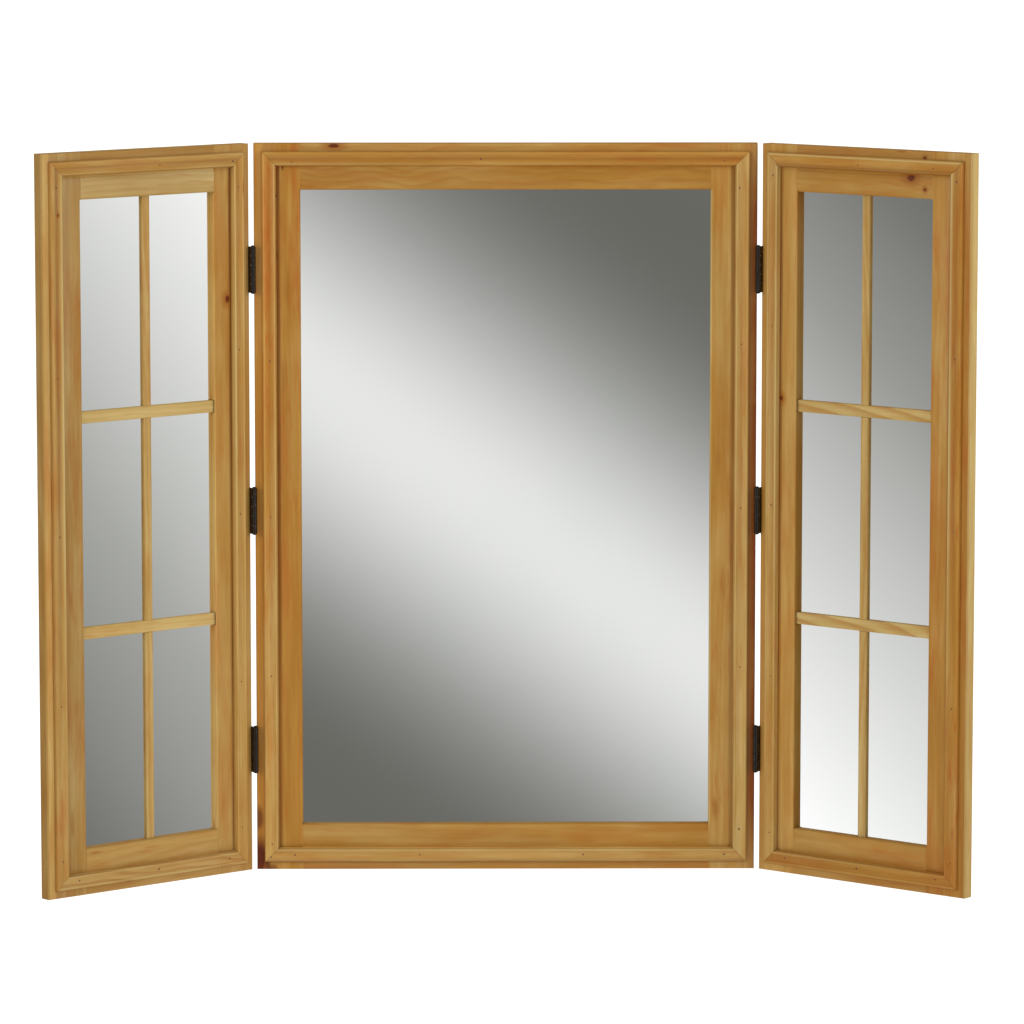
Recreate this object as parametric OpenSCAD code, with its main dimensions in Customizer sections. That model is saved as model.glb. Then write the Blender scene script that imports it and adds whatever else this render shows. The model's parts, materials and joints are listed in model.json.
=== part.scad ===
// Three-panel shutter mirror: a fixed centre mirror in a pine frame, with a glazed-bar
// mirror shutter hinged to each side.
//
// Frame: the origin is the middle of the centre panel's underside, half way through its
// thickness. +Z is up, and the mirrors face -Y. Sizes are in millimetres.

/* [Centre panel] */
// Width of the centre panel
panel_w = 520; // [360:1:900]
// Height of all three panels
panel_h = 760; // [480:1:1400]
// Thickness of every stile and rail
board_t = 14; // [13.5:0.5:24]
// Width of the centre panel's stiles
stile_w = 48; // [42:0.5:80]
// Width of every rail
rail_w = 48; // [46:0.5:80]

/* [Shutters] */
// Width of a shutter's stile on the hinge side
hinge_stile_w = 44.5; // [40:0.5:70]
// Width of a shutter's stile on the free side
outer_stile_w = 47.5; // [40:0.5:70]
// Gap left between the two shutters when both are closed
meeting_gap = 2; // [1.6:0.1:6]
// Angle that the shutters are swung forward from flat
open_angle = 39; // [0:1:90]

/* [Joinery] */
// Length of the stub tenons on the rails
tenon_l = 12; // [6:0.5:18]
// Thickness of the stub tenons
tenon_t = 5; // [3:0.5:7]
// Height of the stub tenons
tenon_h = 28; // [16:0.5:30]
// Distance from a rail's outer edge to its tenon
tenon_inset = 9; // [6:0.5:9]
// Play all round a tenon in its mortise
tenon_fit = 0.1; // [0.05:0.05:0.4]
// Open joint line where a rail meets a stile, and half the line at a mitre
joint_line = 0.1; // [0.05:0.05:0.3]
// Radius that the boards' outer arrises are eased to
arris_r = 1.2; // [0.5:0.1:2]
// Radius of the rounded edge round each mirror
sight_r = 2.5; // [0.5:0.1:3]

/* [Rebate, glass and back] */
// Depth of the wood in front of the glass
lip_t = 7; // [6.5:0.25:8]
// Width of the rebate that holds the glass
rebate_w = 7; // [5:0.5:9]
// Thickness of the mirror glass
glass_t = 3; // [2:0.5:3]
// Thickness of the backing boards
backing_t = 2; // [1.5:0.25:2]
// Play round the glass and the backing in the rebate
glass_fit = 1; // [0.5:0.1:1.5]

/* [Planted moulding] */
// Width of the moulding
moulding_w = 15; // [13:0.5:20]
// Height that the moulding stands proud of the boards
moulding_h = 5; // [4.5:0.1:7]
// Distance from a panel's edge to its moulding
moulding_inset = 8.3; // [7:0.1:14]
// Radius of the bead at the moulding's outer edge
bead_r = 2; // [1.5:0.1:2.5]
// Drop from the top of the moulding's nose to the top of its bead
bead_drop = 0.7; // [0:0.1:1]
// Radius of the moulding's hollow
hollow_r = 7; // [6.5:0.1:8]
// Depth of the moulding's hollow below its nose
hollow_depth = 2.1; // [1.8:0.1:2.4]
// Radius of the nose at the moulding's inner edge
nose_r = 1.2; // [0.8:0.1:1.5]
// Height of the moulding's thin inner edge
quirk_h = 0.6; // [0.4:0.1:1]
// Width of the bevelled groove inside the moulding
groove_w = 4.5; // [3:0.5:6]
// Depth of the bevelled groove beside the moulding
groove_d = 1.8; // [0.5:0.1:2]

/* [Glazing bars] */
// Face width of the level glazing bars
level_bar_w = 12.5; // [8:0.5:20]
// Face width of the upright glazing bars
upright_bar_w = 9.5; // [8:0.5:20]
// Thickness of the glazing bars
bar_t = 3; // [2.5:0.1:4]
// Length of a bar's end inside its notch
bar_let_in = 1.5; // [1:0.1:2]
// Depth of the notches in the stiles and rails
notch_d = 4; // [3:0.1:5]
// Play beside a bar in its notch
notch_side = 0.4; // [0.1:0.1:0.6]
// Open slot of the notch in front of the bar
notch_front = 2; // [0.5:0.1:2.2]
// Gap between the bars and the glass
bar_gap = 0.1; // [0.05:0.05:0.3]
// Radius of the bars' front arrises
bar_arris_r = 1; // [0.5:0.1:1.4]

/* [Hinges] */
// Length of a butt hinge
hinge_l = 48; // [40:1:76]
// Number of knuckles in a hinge
knuckles = 5; // [3:2:7]
// Outside diameter of the knuckles
knuckle_d = 6; // [5:0.1:6.8]
// Diameter of the hinge pins
pin_d = 3; // [2.5:0.1:3.5]
// Radial clearance of a pin in its knuckles
pin_fit = 0.05; // [0.02:0.01:0.1]
// Open gap between two knuckles
knuckle_gap = 0.3; // [0.2:0.05:0.6]
// Thickness of the hinge leaves
leaf_t = 1.2; // [1:0.1:1.6]
// Depth of the leaves into the boards' edges
leaf_depth = 11; // [9:0.5:12]
// Radius of the leaves' corners
leaf_corner_r = 1.5; // [0.5:0.1:2.5]
// Gap between the centre panel and a flat shutter
hinge_gap = 1.6; // [1.4:0.1:2.4]
// Gap left between the mouldings of a closed shutter and the centre panel
fold_gap = 0.5; // [0.4:0.1:1.5]
// Distance from the bottom of a panel to the middle of its lowest hinge
hinge_rise = 128; // [90:1:180]
// Distance from the top of a panel to the middle of its highest hinge
hinge_drop = 130; // [90:1:180]
// Distance between the two screws of a leaf
leaf_screw_pitch = 30; // [24:1:34]
// Play round a leaf in its gain
gain_fit = 0.15; // [0.05:0.05:0.4]

/* [Screws and points] */
// Shank diameter of the wood screws
screw_d = 3; // [2.5:0.1:3.2]
// Head diameter of the wood screws
screw_head_d = 5.6; // [5:0.1:6.4]
// Length of the hinge screws
hinge_screw_l = 16; // [12:1:20]
// Length of the hanger screws
hanger_screw_l = 10; // [8:0.5:12]
// Play round a screw
screw_fit = 0.05; // [0.02:0.01:0.1]
// Length of a glazing point
point_l = 12; // [8:0.5:12]
// Width of a glazing point
point_w = 7; // [5:0.5:10]
// Thickness of a glazing point
point_t = 0.8; // [0.5:0.1:1]
// Play round a glazing point in its slot
point_fit = 0.05; // [0.02:0.01:0.1]
// Distance from a panel's end to the glazing points next to it
point_end = 95; // [80:1:160]

/* [Keyhole hangers] */
// Width of a hanger plate
hanger_w = 16; // [14:0.5:20]
// Height of a hanger plate
hanger_l = 48; // [44:0.5:60]
// Thickness of a hanger plate
hanger_t = 1.5; // [1:0.1:2]
// Diameter of the keyhole's entry hole
keyhole_d = 9; // [8:0.1:10]
// Width of the keyhole's slot
keyhole_slot_w = 4.5; // [4.2:0.1:5.5]
// Rise from the entry hole to the end of the slot
keyhole_rise = 10; // [8:0.5:12]
// Distance from the top of the panel to the entry holes
hanger_drop = 72; // [66:1:110]
// Depth of the pocket behind a hanger plate, from the back of the panel
hanger_pocket_d = 9; // [7:0.5:10]
// Play round a hanger plate in its recess
hanger_fit = 0.15; // [0.05:0.05:0.4]

/* [Hidden] */
$fn = 48;
// What a cut runs past the face that it opens
over = 1;
// Front and back faces of the boards, the back of the lip and of the backing
front_y = -board_t / 2;
back_y = board_t / 2;
glass_y = front_y + lip_t;
backing_y = glass_y + glass_t;
point_y = backing_y + backing_t;
// A shutter is half the centre panel, less half the meeting gap
shutter_w = (panel_w - meeting_gap) / 2;
// The pins stand in front of the boards, half a fold gap past the mouldings
pin_x = (panel_w + hinge_gap) / 2;
pin_y = front_y - moulding_h - fold_gap / 2;
shutter_x = panel_w / 2 + hinge_gap;
hinge_top_z = panel_h - hinge_drop;
hinge_z = [hinge_rise, (hinge_rise + hinge_top_z) / 2, hinge_top_z];
hinge_reach = hinge_gap / 2;
knuckle_pitch = hinge_l / knuckles;
knuckle_clear = 0.4;
// The leaf screws sit in the middle of the leaf's part inside the board
leaf_screw_y = front_y + leaf_depth / 2;
screw_head_h = (screw_head_d - screw_d) / 2;
screw_tip_h = screw_d;
screw_point_d = 0.2;
// The cross recess in a screw's head
cross_l = screw_head_d / 2;
cross_w = 0.6;
cross_h = screw_head_h * 0.7;
// Riveted heads of the hinge pins: a short rim with a dome on it
pin_tip_inset = 0.8;
pin_tip_d = knuckle_d - 2 * pin_tip_inset;
pin_tip_h = 1.2;
pin_dome_h = 0.9;
pin_dome_r = (pin_tip_d * pin_tip_d / 4 + pin_dome_h * pin_dome_h) / (2 * pin_dome_h);
pin_tip_gap = 0.1;
// Each shutter has an upper and a lower level bar, which make three rows of panes
pane_rows = 3;
// Half the thickness of a glazing bar is left at each crossing
bar_y = glass_y - bar_gap - bar_t;
lap_fit = 0.05;
hanger_x = panel_w / 2 - (stile_w - rebate_w) / 2;
hanger_z = panel_h - hanger_drop;
hanger_middle = keyhole_rise / 2;
hanger_screw_inset = 6;
hanger_screw_pitch = hanger_l - 2 * hanger_screw_inset;
pocket_side = 2;
hanger_pocket_w = keyhole_d + 2 * pocket_side;
hanger_corner_r = 5;
// The moulding's section, across its width from the outer edge
bead_h = moulding_h - bead_drop;
hollow_floor = moulding_h - hollow_depth;
quirk_w = 0.8;
nose_lean = 0.4;
nose_x = moulding_w - quirk_w - nose_r - nose_lean;
foot_inset = moulding_inset + moulding_w;
hollow_x = (bead_r + nose_x) / 2;

// ---------------------------------------------------------------- placing

// The centre panel is drawn from its left edge at x = 0
module centre_place() translate([-panel_w / 2, 0, 0]) children();

// A piece drawn for the right side is mirrored to the left where side is -1
module to_side(side) mirror([side < 0 ? 1 : 0, 0, 0]) children();

// Swings what is drawn flat beside the centre panel forward about the right hinge pins
module swing()
    translate([pin_x, pin_y, 0])
        rotate([0, 0, -open_angle])
            translate([-pin_x, -pin_y, 0])
                children();

// A shutter is drawn flat from its hinge edge at x = 0, and is placed on its side
module shutter_place(side) to_side(side) swing() translate([shutter_x, 0, 0]) children();

// Turns a piece drawn at the left edge or the bottom of a panel round to the other side
module across(w) translate([w, 0, 0]) mirror([1, 0, 0]) children();
module to_top() translate([0, 0, panel_h]) mirror([0, 0, 1]) children();

// ---------------------------------------------------------------- joinery

// What is taken off an arris to round it: the edge runs along +Z through the origin,
// and the board lies on the +X and +Y side of it
module arris_cut(length, r)
    translate([0, 0, -over])
        linear_extrude(length + 2 * over)
            difference() {
                translate([-over, -over]) square(r + over);
                translate([r, r]) circle(r);
            }

// The same along +X, for a board above the edge and behind it
module level_arris_cut(length, r)
    rotate([0, 90, 0]) mirror([1, 0, 0]) arris_cut(length, r);

// The rebate that is cut round a panel's sight opening from behind
module rebate_cut(w, near_w, far_w)
    translate([near_w - rebate_w, glass_y, rail_w - rebate_w])
        cube([w - near_w - far_w + 2 * rebate_w, lip_t + board_t, panel_h - 2 * (rail_w - rebate_w)]);

// The wood that a bevel leaves standing on a face: a prism along +Z whose sides rise
// over groove_w from the groove's depth to the face, and on past it
module groove_island(width, length) {
    deep_y = front_y + groove_d + over;
    high_y = front_y - 2 * over;
    function side_x(y) = (front_y + groove_d - y) * groove_w / groove_d;
    linear_extrude(length)
        polygon([
            [side_x(deep_y), deep_y], [side_x(high_y), high_y],
            [width - side_x(high_y), high_y], [width - side_x(deep_y), deep_y]]);
}

// The groove round the inside of a panel's moulding: a step down at the moulding's foot,
// and a bevel that rises from there to the face
module bevelled_groove(w) {
    inner_w = w - 2 * foot_inset;
    inner_h = panel_h - 2 * foot_inset;
    translate([foot_inset, 0, foot_inset])
        difference() {
            translate([0, front_y - over, 0]) cube([inner_w, over + groove_d, inner_h]);
            intersection() {
                translate([0, 0, -over]) groove_island(inner_w, inner_h + 2 * over);
                translate([-over, 0, 0])
                    mirror([1, 0, 0])
                        rotate([0, -90, 0])
                            groove_island(inner_h, inner_w + 2 * over);
            }
        }
}

// One stub tenon, drawn at the bottom left corner of a panel, whose stile is width wide
module tenon(width, fit)
    translate([width - tenon_l - fit, -tenon_t / 2 - fit, tenon_inset - fit])
        cube([tenon_l + fit + over, tenon_t + 2 * fit, tenon_h + 2 * fit]);

// A stile from x = 0, its outer edge, with the panel's rebate and both mortises
module plain_stile(width)
    difference() {
        translate([0, front_y, 0]) cube([width, board_t, panel_h]);
        rebate_cut(2 * width + rebate_w, width, width);
        tenon(width, tenon_fit);
        to_top() tenon(width, tenon_fit);
        translate([0, front_y, 0]) arris_cut(panel_h, arris_r);
        translate([0, back_y, 0]) mirror([0, 1, 0]) arris_cut(panel_h, arris_r);
        translate([width, front_y, rail_w])
            mirror([1, 0, 0])
                translate([0, 0, over])
                    arris_cut(panel_h - 2 * rail_w - 2 * over, sight_r);
        translate([0, front_y, 0]) level_arris_cut(width, arris_r);
        translate([0, front_y, panel_h]) mirror([0, 0, 1]) level_arris_cut(width, arris_r);
        bevelled_groove(4 * width);
    }

// A bottom rail between two stiles, with its tenons, its rebate and its eased arrises
module plain_rail(w, near_w, far_w)
    difference() {
        union() {
            translate([near_w + joint_line, front_y, 0])
                cube([w - near_w - far_w - 2 * joint_line, board_t, rail_w]);
            tenon(near_w, 0);
            across(w) tenon(far_w, 0);
        }
        rebate_cut(w, near_w, far_w);
        translate([near_w, front_y, 0]) level_arris_cut(w - near_w - far_w, arris_r);
        translate([near_w, front_y, rail_w])
            mirror([0, 0, 1]) level_arris_cut(w - near_w - far_w, sight_r);
        bevelled_groove(w);
    }

// ---------------------------------------------------------------- glazing points

// Places of the points along one edge of the given length
function point_places(length) =
    length > 3 * point_end
        ? [point_end, length / 2, length - point_end]
        : [length / 2];

// A diamond of sheet steel, half of it inside the wood on its -X side
module point_blank()
    translate([0, point_y, 0])
        rotate([-90, 0, 0])
            linear_extrude(point_t)
                polygon([[-point_l / 2, 0], [0, -point_w / 2], [point_l / 2, 0], [0, point_w / 2]]);

// The sawn slot that takes one half of a point
module point_slot()
    translate([-point_l / 2 - point_fit, point_y - point_fit, -point_w / 2 - point_fit])
        cube([point_l / 2 + point_fit + over, point_t + 2 * point_fit, point_w + 2 * point_fit]);

// Puts a child at each place along a panel's left side and along its bottom
module along_side(near_w)
    for (z = point_places(panel_h)) translate([near_w - rebate_w, 0, z]) children();

module along_bottom(w)
    for (x = point_places(w)) translate([x, 0, rail_w - rebate_w]) rotate([0, -90, 0]) children();

module glazing_points(w, near_w, far_w)
    color("silver") {
        along_side(near_w) point_blank();
        across(w) along_side(far_w) point_blank();
        along_bottom(w) point_blank();
        to_top() along_bottom(w) point_blank();
    }

// ---------------------------------------------------------------- planted moulding

// Section of the moulding: a bead at the outer edge, a hollow, and a nose that falls
// steeply to a thin inner edge
module moulding_section()
    difference() {
        union() {
            polygon([
                [0, 0], [moulding_w, 0], [moulding_w, quirk_h],
                [moulding_w - quirk_w, quirk_h],
                [nose_x + nose_r, moulding_h - nose_r],
                [nose_x, moulding_h - nose_r / 2], [bead_r, bead_h - bead_r / 2],
                [0, bead_h - bead_r]]);
            translate([bead_r, bead_h - bead_r]) circle(bead_r);
            translate([nose_x, moulding_h - nose_r]) circle(nose_r);
        }
        translate([hollow_x, hollow_floor + hollow_r]) circle(hollow_r);
    }

// A strip along +Z from z = 0, its outer edge on x = 0 and its back on the boards
module moulding_blank(length)
    translate([0, front_y, 0])
        linear_extrude(length)
            mirror([0, 1])
                moulding_section();

// Cuts a 45 degree mitre across the lower end of an upright strip
module mitre_cut()
    rotate([0, -45, 0])
        translate([-2 * moulding_w, front_y - 2 * moulding_h, -3 * moulding_w + joint_line / 2])
            cube([5 * moulding_w, 3 * moulding_h, 3 * moulding_w]);

// An upright strip on the left of a panel, and a level one along its bottom
module upright_moulding()
    color("peru")
        translate([moulding_inset, 0, moulding_inset])
            difference() {
                moulding_blank(panel_h - 2 * moulding_inset);
                mitre_cut();
                translate([0, 0, panel_h - 2 * moulding_inset]) mirror([0, 0, 1]) mitre_cut();
            }

module level_moulding(w)
    color("peru")
        translate([moulding_inset, 0, moulding_inset])
            mirror([1, 0, 0])
                rotate([0, -90, 0])
                    difference() {
                        moulding_blank(w - 2 * moulding_inset);
                        mitre_cut();
                        translate([0, 0, w - 2 * moulding_inset]) mirror([0, 0, 1]) mitre_cut();
                    }

// ---------------------------------------------------------------- glass and backing

module sheet(w, near_w, far_w, y, thickness)
    translate([near_w - rebate_w + glass_fit, y, rail_w - rebate_w + glass_fit])
        cube([
            w - near_w - far_w + 2 * (rebate_w - glass_fit),
            thickness,
            panel_h - 2 * (rail_w - rebate_w + glass_fit)]);

module mirror_glass(w, near_w, far_w)
    color("lightsteelblue") sheet(w, near_w, far_w, glass_y, glass_t);

module backing_board(w, near_w, far_w)
    color("saddlebrown") sheet(w, near_w, far_w, backing_y, backing_t);

// ---------------------------------------------------------------- screws

// A countersunk wood screw along -Z, the top of its head on z = 0
module screw_blank(length, fit) {
    translate([0, 0, -screw_head_h - fit])
        cylinder(h = screw_head_h + fit, d1 = screw_d + 2 * fit, d2 = screw_head_d + 2 * fit);
    translate([0, 0, -length + screw_tip_h - fit])
        cylinder(h = length - screw_tip_h, d = screw_d + 2 * fit);
    translate([0, 0, -length - fit])
        cylinder(h = screw_tip_h, d1 = screw_point_d + 2 * fit, d2 = screw_d + 2 * fit);
}

// The screw itself has a cross recess in its head
module screw(length)
    color("dimgray")
        difference() {
            screw_blank(length, 0);
            for (a = [0, 90])
                rotate([0, 0, a])
                    translate([-cross_l / 2, -cross_w / 2, -cross_h])
                        cube([cross_l, cross_w, cross_h + over]);
        }

// ---------------------------------------------------------------- hinges
// A hinge is drawn round its pin: the pin runs along Z through the origin, and the
// boards' front faces lie at +Y. The frame leaf is on the -X side of the gap.

hinge_face_y = front_y - pin_y;

// Puts a child at each of a panel's hinges
module at_hinges() for (z = hinge_z) translate([0, 0, z]) children();

// Puts a child at the two screws of a frame leaf, with +Z out of the leaf's face
module at_leaf_screws()
    for (z = [-leaf_screw_pitch / 2, leaf_screw_pitch / 2])
        translate([-hinge_reach, leaf_screw_y - pin_y, z])
            rotate([0, 90, 0])
                children();

// Outline of a leaf, from the pin's centre back into the board
module leaf_outline(fit) {
    depth = hinge_face_y + leaf_depth + fit;
    square([depth - leaf_corner_r, hinge_l / 2 + fit]);
    mirror([0, 1]) square([depth - leaf_corner_r, hinge_l / 2 + fit]);
    translate([0, -hinge_l / 2 - fit + leaf_corner_r])
        square([depth, hinge_l + 2 * fit - 2 * leaf_corner_r]);
    for (z = [-1, 1])
        translate([depth - leaf_corner_r, z * (hinge_l / 2 + fit - leaf_corner_r)])
            circle(leaf_corner_r);
}

module leaf_plate(fit)
    translate([-hinge_reach, 0, 0])
        rotate([90, 0, -90])
            mirror([1, 0, 0])
                linear_extrude(leaf_t + fit)
                    leaf_outline(fit);

// Knuckle number i, counted from the bottom
module knuckle(i)
    translate([0, 0, -hinge_l / 2 + i * knuckle_pitch + knuckle_gap / 2])
        cylinder(h = knuckle_pitch - knuckle_gap, d = knuckle_d);

// A leaf whose first knuckle is number first, and that leaves room for the other leaf's
module leaf(first)
    color("#2b2622")
        difference() {
            union() {
                difference() {
                    leaf_plate(0);
                    for (i = [1 - first : 2 : knuckles - 1])
                        translate([0, 0, -hinge_l / 2 + i * knuckle_pitch - knuckle_gap / 2])
                            cylinder(h = knuckle_pitch + knuckle_gap, d = knuckle_d + 2 * knuckle_clear);
                }
                for (i = [first : 2 : knuckles - 1]) knuckle(i);
            }
            translate([0, 0, -hinge_l / 2 - over])
                cylinder(h = hinge_l + 2 * over, d = pin_d + 2 * pin_fit);
            at_leaf_screws() screw_blank(hinge_screw_l, screw_fit);
        }

// The gain for a frame leaf in a board's edge, with its two pilot holes
module leaf_gain() {
    difference() {
        leaf_plate(gain_fit);
        translate([-leaf_t - over - hinge_reach, -over, -hinge_l])
            cube([leaf_t + 2 * over, over + knuckle_clear, 2 * hinge_l]);
    }
    at_leaf_screws() screw_blank(hinge_screw_l, screw_fit);
}

// A pin with a low domed rivet head at each end of the barrel
module hinge_pin()
    color("#2b2622") {
        translate([0, 0, -hinge_l / 2 - pin_tip_gap - over / 4])
            cylinder(h = hinge_l + 2 * pin_tip_gap + over / 2, d = pin_d);
        for (end = [0, 1])
            mirror([0, 0, end])
                translate([0, 0, hinge_l / 2 + pin_tip_gap])
                    pin_tip();
    }

module pin_tip()
    rotate_extrude()
        intersection() {
            square([pin_tip_d / 2, pin_tip_h]);
            translate([0, pin_tip_h - pin_dome_r]) circle(pin_dome_r);
        }

// The right side's frame leaves are drawn in the panels' own frame, and so are the
// shutter leaves, which are the frame leaf turned over the pin and swung open
module frame_hinge_place() translate([pin_x, pin_y, 0]) children();
module shutter_hinge_place()
    translate([pin_x, pin_y, 0]) rotate([0, 0, -open_angle]) mirror([1, 0, 0]) children();

module frame_leaf(side, z) to_side(side) frame_hinge_place() translate([0, 0, z]) leaf(1);
module shutter_leaf(side, z) to_side(side) shutter_hinge_place() translate([0, 0, z]) leaf(0);
module hinge_pins(side) to_side(side) frame_hinge_place() at_hinges() hinge_pin();

module frame_hinge_screws()
    for (side = [-1, 1])
        to_side(side) frame_hinge_place() at_hinges() at_leaf_screws() screw(hinge_screw_l);

module shutter_hinge_screws(side)
    to_side(side) shutter_hinge_place() at_hinges() at_leaf_screws() screw(hinge_screw_l);

// The gains of the centre panel's stile, drawn at the panel's right edge
module frame_gains() frame_hinge_place() at_hinges() leaf_gain();

// The gains of a shutter's hinge stile, drawn with the hinge edge at x = 0
module shutter_gains()
    translate([-shutter_x + pin_x, pin_y, 0]) mirror([1, 0, 0]) at_hinges() leaf_gain();

// ---------------------------------------------------------------- keyhole hangers

// A hanger is drawn flat, its back on z = 0 and the middle of the plate at the origin
module hanger_outline(fit)
    union() {
        square([hanger_w + 2 * fit, hanger_l - 2 * hanger_corner_r], center = true);
        square([hanger_w - 2 * hanger_corner_r, hanger_l + 2 * fit], center = true);
        for (x = [-1, 1], y = [-1, 1])
            translate([x * (hanger_w / 2 - hanger_corner_r), y * (hanger_l / 2 - hanger_corner_r)])
                circle(hanger_corner_r + fit);
    }

// A round entry with a slot above it that ends in a half round
module keyhole(entry_d, slot_w) {
    translate([0, -hanger_middle]) circle(d = entry_d);
    translate([-slot_w / 2, -hanger_middle]) square([slot_w, keyhole_rise]);
    translate([0, hanger_middle]) circle(d = slot_w);
}

// Puts a child at the middle of each hanger plate, with +Z out of the panel's back
module at_hangers()
    for (side = [-1, 1])
        to_side(side)
            translate([hanger_x, back_y, hanger_z])
                rotate([90, 0, 180])
                    children();

module at_hanger_screws()
    for (z = [-hanger_screw_pitch / 2, hanger_screw_pitch / 2])
        translate([0, z, 0])
            children();

module hanger_plates()
    color("silver")
        at_hangers()
            difference() {
                translate([0, 0, -hanger_t]) linear_extrude(hanger_t) hanger_outline(0);
                translate([0, 0, -hanger_t - over])
                    linear_extrude(hanger_t + 2 * over)
                        keyhole(keyhole_d, keyhole_slot_w);
                at_hanger_screws() screw_blank(hanger_screw_l, screw_fit);
            }

module hanger_screws() at_hangers() at_hanger_screws() screw(hanger_screw_l);

// The recess for a plate, the pocket behind its keyhole and the pilot holes
module hanger_cuts()
    at_hangers() {
        translate([0, 0, -hanger_t]) linear_extrude(hanger_t + over) hanger_outline(hanger_fit);
        translate([0, 0, -hanger_pocket_d])
            linear_extrude(hanger_pocket_d)
                keyhole(hanger_pocket_w, hanger_pocket_w);
        at_hanger_screws() screw_blank(hanger_screw_l, screw_fit);
    }

// ---------------------------------------------------------------- centre panel

module centre_left_stile()
    color("burlywood")
        difference() {
            centre_place()
                difference() {
                    plain_stile(stile_w);
                    along_side(stile_w) point_slot();
                }
            to_side(-1) frame_gains();
            hanger_cuts();
        }

module centre_right_stile() mirror([1, 0, 0]) centre_left_stile();

module centre_bottom_rail()
    color("burlywood")
        centre_place()
            difference() {
                plain_rail(panel_w, stile_w, stile_w);
                along_bottom(panel_w) point_slot();
            }

module centre_top_rail() to_top() centre_bottom_rail();
module centre_left_moulding() centre_place() upright_moulding();
module centre_right_moulding() mirror([1, 0, 0]) centre_left_moulding();
module centre_bottom_moulding() centre_place() level_moulding(panel_w);
module centre_top_moulding() to_top() centre_bottom_moulding();
module centre_mirror() centre_place() mirror_glass(panel_w, stile_w, stile_w);
module centre_backing() centre_place() backing_board(panel_w, stile_w, stile_w);
module centre_glazing_points() centre_place() glazing_points(panel_w, stile_w, stile_w);

// ---------------------------------------------------------------- shutters
// Every piece of a shutter is drawn flat, its hinge edge at x = 0

sight_w = shutter_w - hinge_stile_w - outer_stile_w;
sight_h = panel_h - 2 * rail_w;
upright_bar_x = hinge_stile_w + sight_w / 2;
level_bar_z = [for (i = [1 : pane_rows - 1]) rail_w + i * sight_h / pane_rows];
notch_y = bar_y - notch_front;
notch_depth_y = notch_front + bar_t + bar_gap + over;

// Notches for the level bars' ends in a stile of the given width
module stile_notches(width)
    for (z = level_bar_z)
        translate([width - notch_d, notch_y, z - level_bar_w / 2 - notch_side])
            cube([notch_d + over, notch_depth_y, level_bar_w + 2 * notch_side]);

// The notch for the upright bar's end in a bottom rail
module rail_notch()
    translate([upright_bar_x - upright_bar_w / 2 - notch_side, notch_y, rail_w - notch_d])
        cube([upright_bar_w + 2 * notch_side, notch_depth_y, notch_d + over]);

module hinge_stile()
    color("burlywood")
        difference() {
            plain_stile(hinge_stile_w);
            stile_notches(hinge_stile_w);
            along_side(hinge_stile_w) point_slot();
            shutter_gains();
        }

module outer_stile()
    color("burlywood")
        across(shutter_w)
            difference() {
                plain_stile(outer_stile_w);
                stile_notches(outer_stile_w);
                along_side(outer_stile_w) point_slot();
            }

module shutter_bottom_rail()
    color("burlywood")
        difference() {
            plain_rail(shutter_w, hinge_stile_w, outer_stile_w);
            rail_notch();
            along_bottom(shutter_w) point_slot();
        }

// The upright bar runs behind the level bars in halved joints
module upright_bar()
    color("burlywood") {
        length = sight_h + 2 * bar_let_in;
        translate([upright_bar_x - upright_bar_w / 2, bar_y, rail_w - bar_let_in])
            difference() {
                cube([upright_bar_w, bar_t, length]);
                arris_cut(length, bar_arris_r);
                across(upright_bar_w) arris_cut(length, bar_arris_r);
                for (z = level_bar_z)
                    translate([
                        -over, -over,
                        z - level_bar_w / 2 - lap_fit - rail_w + bar_let_in])
                        cube([
                            upright_bar_w + 2 * over, over + bar_t / 2 + lap_fit,
                            level_bar_w + 2 * lap_fit]);
            }
    }

// A level bar, number i from the bottom
module level_bar(i)
    color("burlywood") {
        length = sight_w + 2 * bar_let_in;
        translate([hinge_stile_w - bar_let_in, bar_y, level_bar_z[i] - level_bar_w / 2])
            difference() {
                cube([length, bar_t, level_bar_w]);
                level_arris_cut(length, bar_arris_r);
                translate([0, 0, level_bar_w]) mirror([0, 0, 1]) level_arris_cut(length, bar_arris_r);
                translate([length / 2 - upright_bar_w / 2 - lap_fit, bar_t / 2, -over])
                    cube([upright_bar_w + 2 * lap_fit, bar_t / 2 + over, level_bar_w + 2 * over]);
            }
    }

module shutter_glazing_points() glazing_points(shutter_w, hinge_stile_w, outer_stile_w);

// ---------------------------------------------------------------- nodes

centre_left_stile();
centre_right_stile();
centre_top_rail();
centre_bottom_rail();
centre_left_moulding();
centre_right_moulding();
centre_top_moulding();
centre_bottom_moulding();
centre_mirror();
centre_backing();
centre_glazing_points();
hanger_plates();
hanger_screws();

shutter_place(-1) hinge_stile();  // left_hinge_stile
shutter_place(-1) outer_stile();  // left_outer_stile
shutter_place(-1) to_top() shutter_bottom_rail();  // left_top_rail
shutter_place(-1) shutter_bottom_rail();  // left_bottom_rail
shutter_place(-1) upright_moulding();  // left_hinge_moulding
shutter_place(-1) across(shutter_w) upright_moulding();  // left_outer_moulding
shutter_place(-1) to_top() level_moulding(shutter_w);  // left_top_moulding
shutter_place(-1) level_moulding(shutter_w);  // left_bottom_moulding
shutter_place(-1) upright_bar();  // left_upright_bar
shutter_place(-1) level_bar(1);  // left_upper_bar
shutter_place(-1) level_bar(0);  // left_lower_bar
shutter_place(-1) mirror_glass(shutter_w, hinge_stile_w, outer_stile_w);  // left_mirror
shutter_place(-1) backing_board(shutter_w, hinge_stile_w, outer_stile_w);  // left_backing
shutter_place(-1) shutter_glazing_points();  // left_glazing_points

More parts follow.
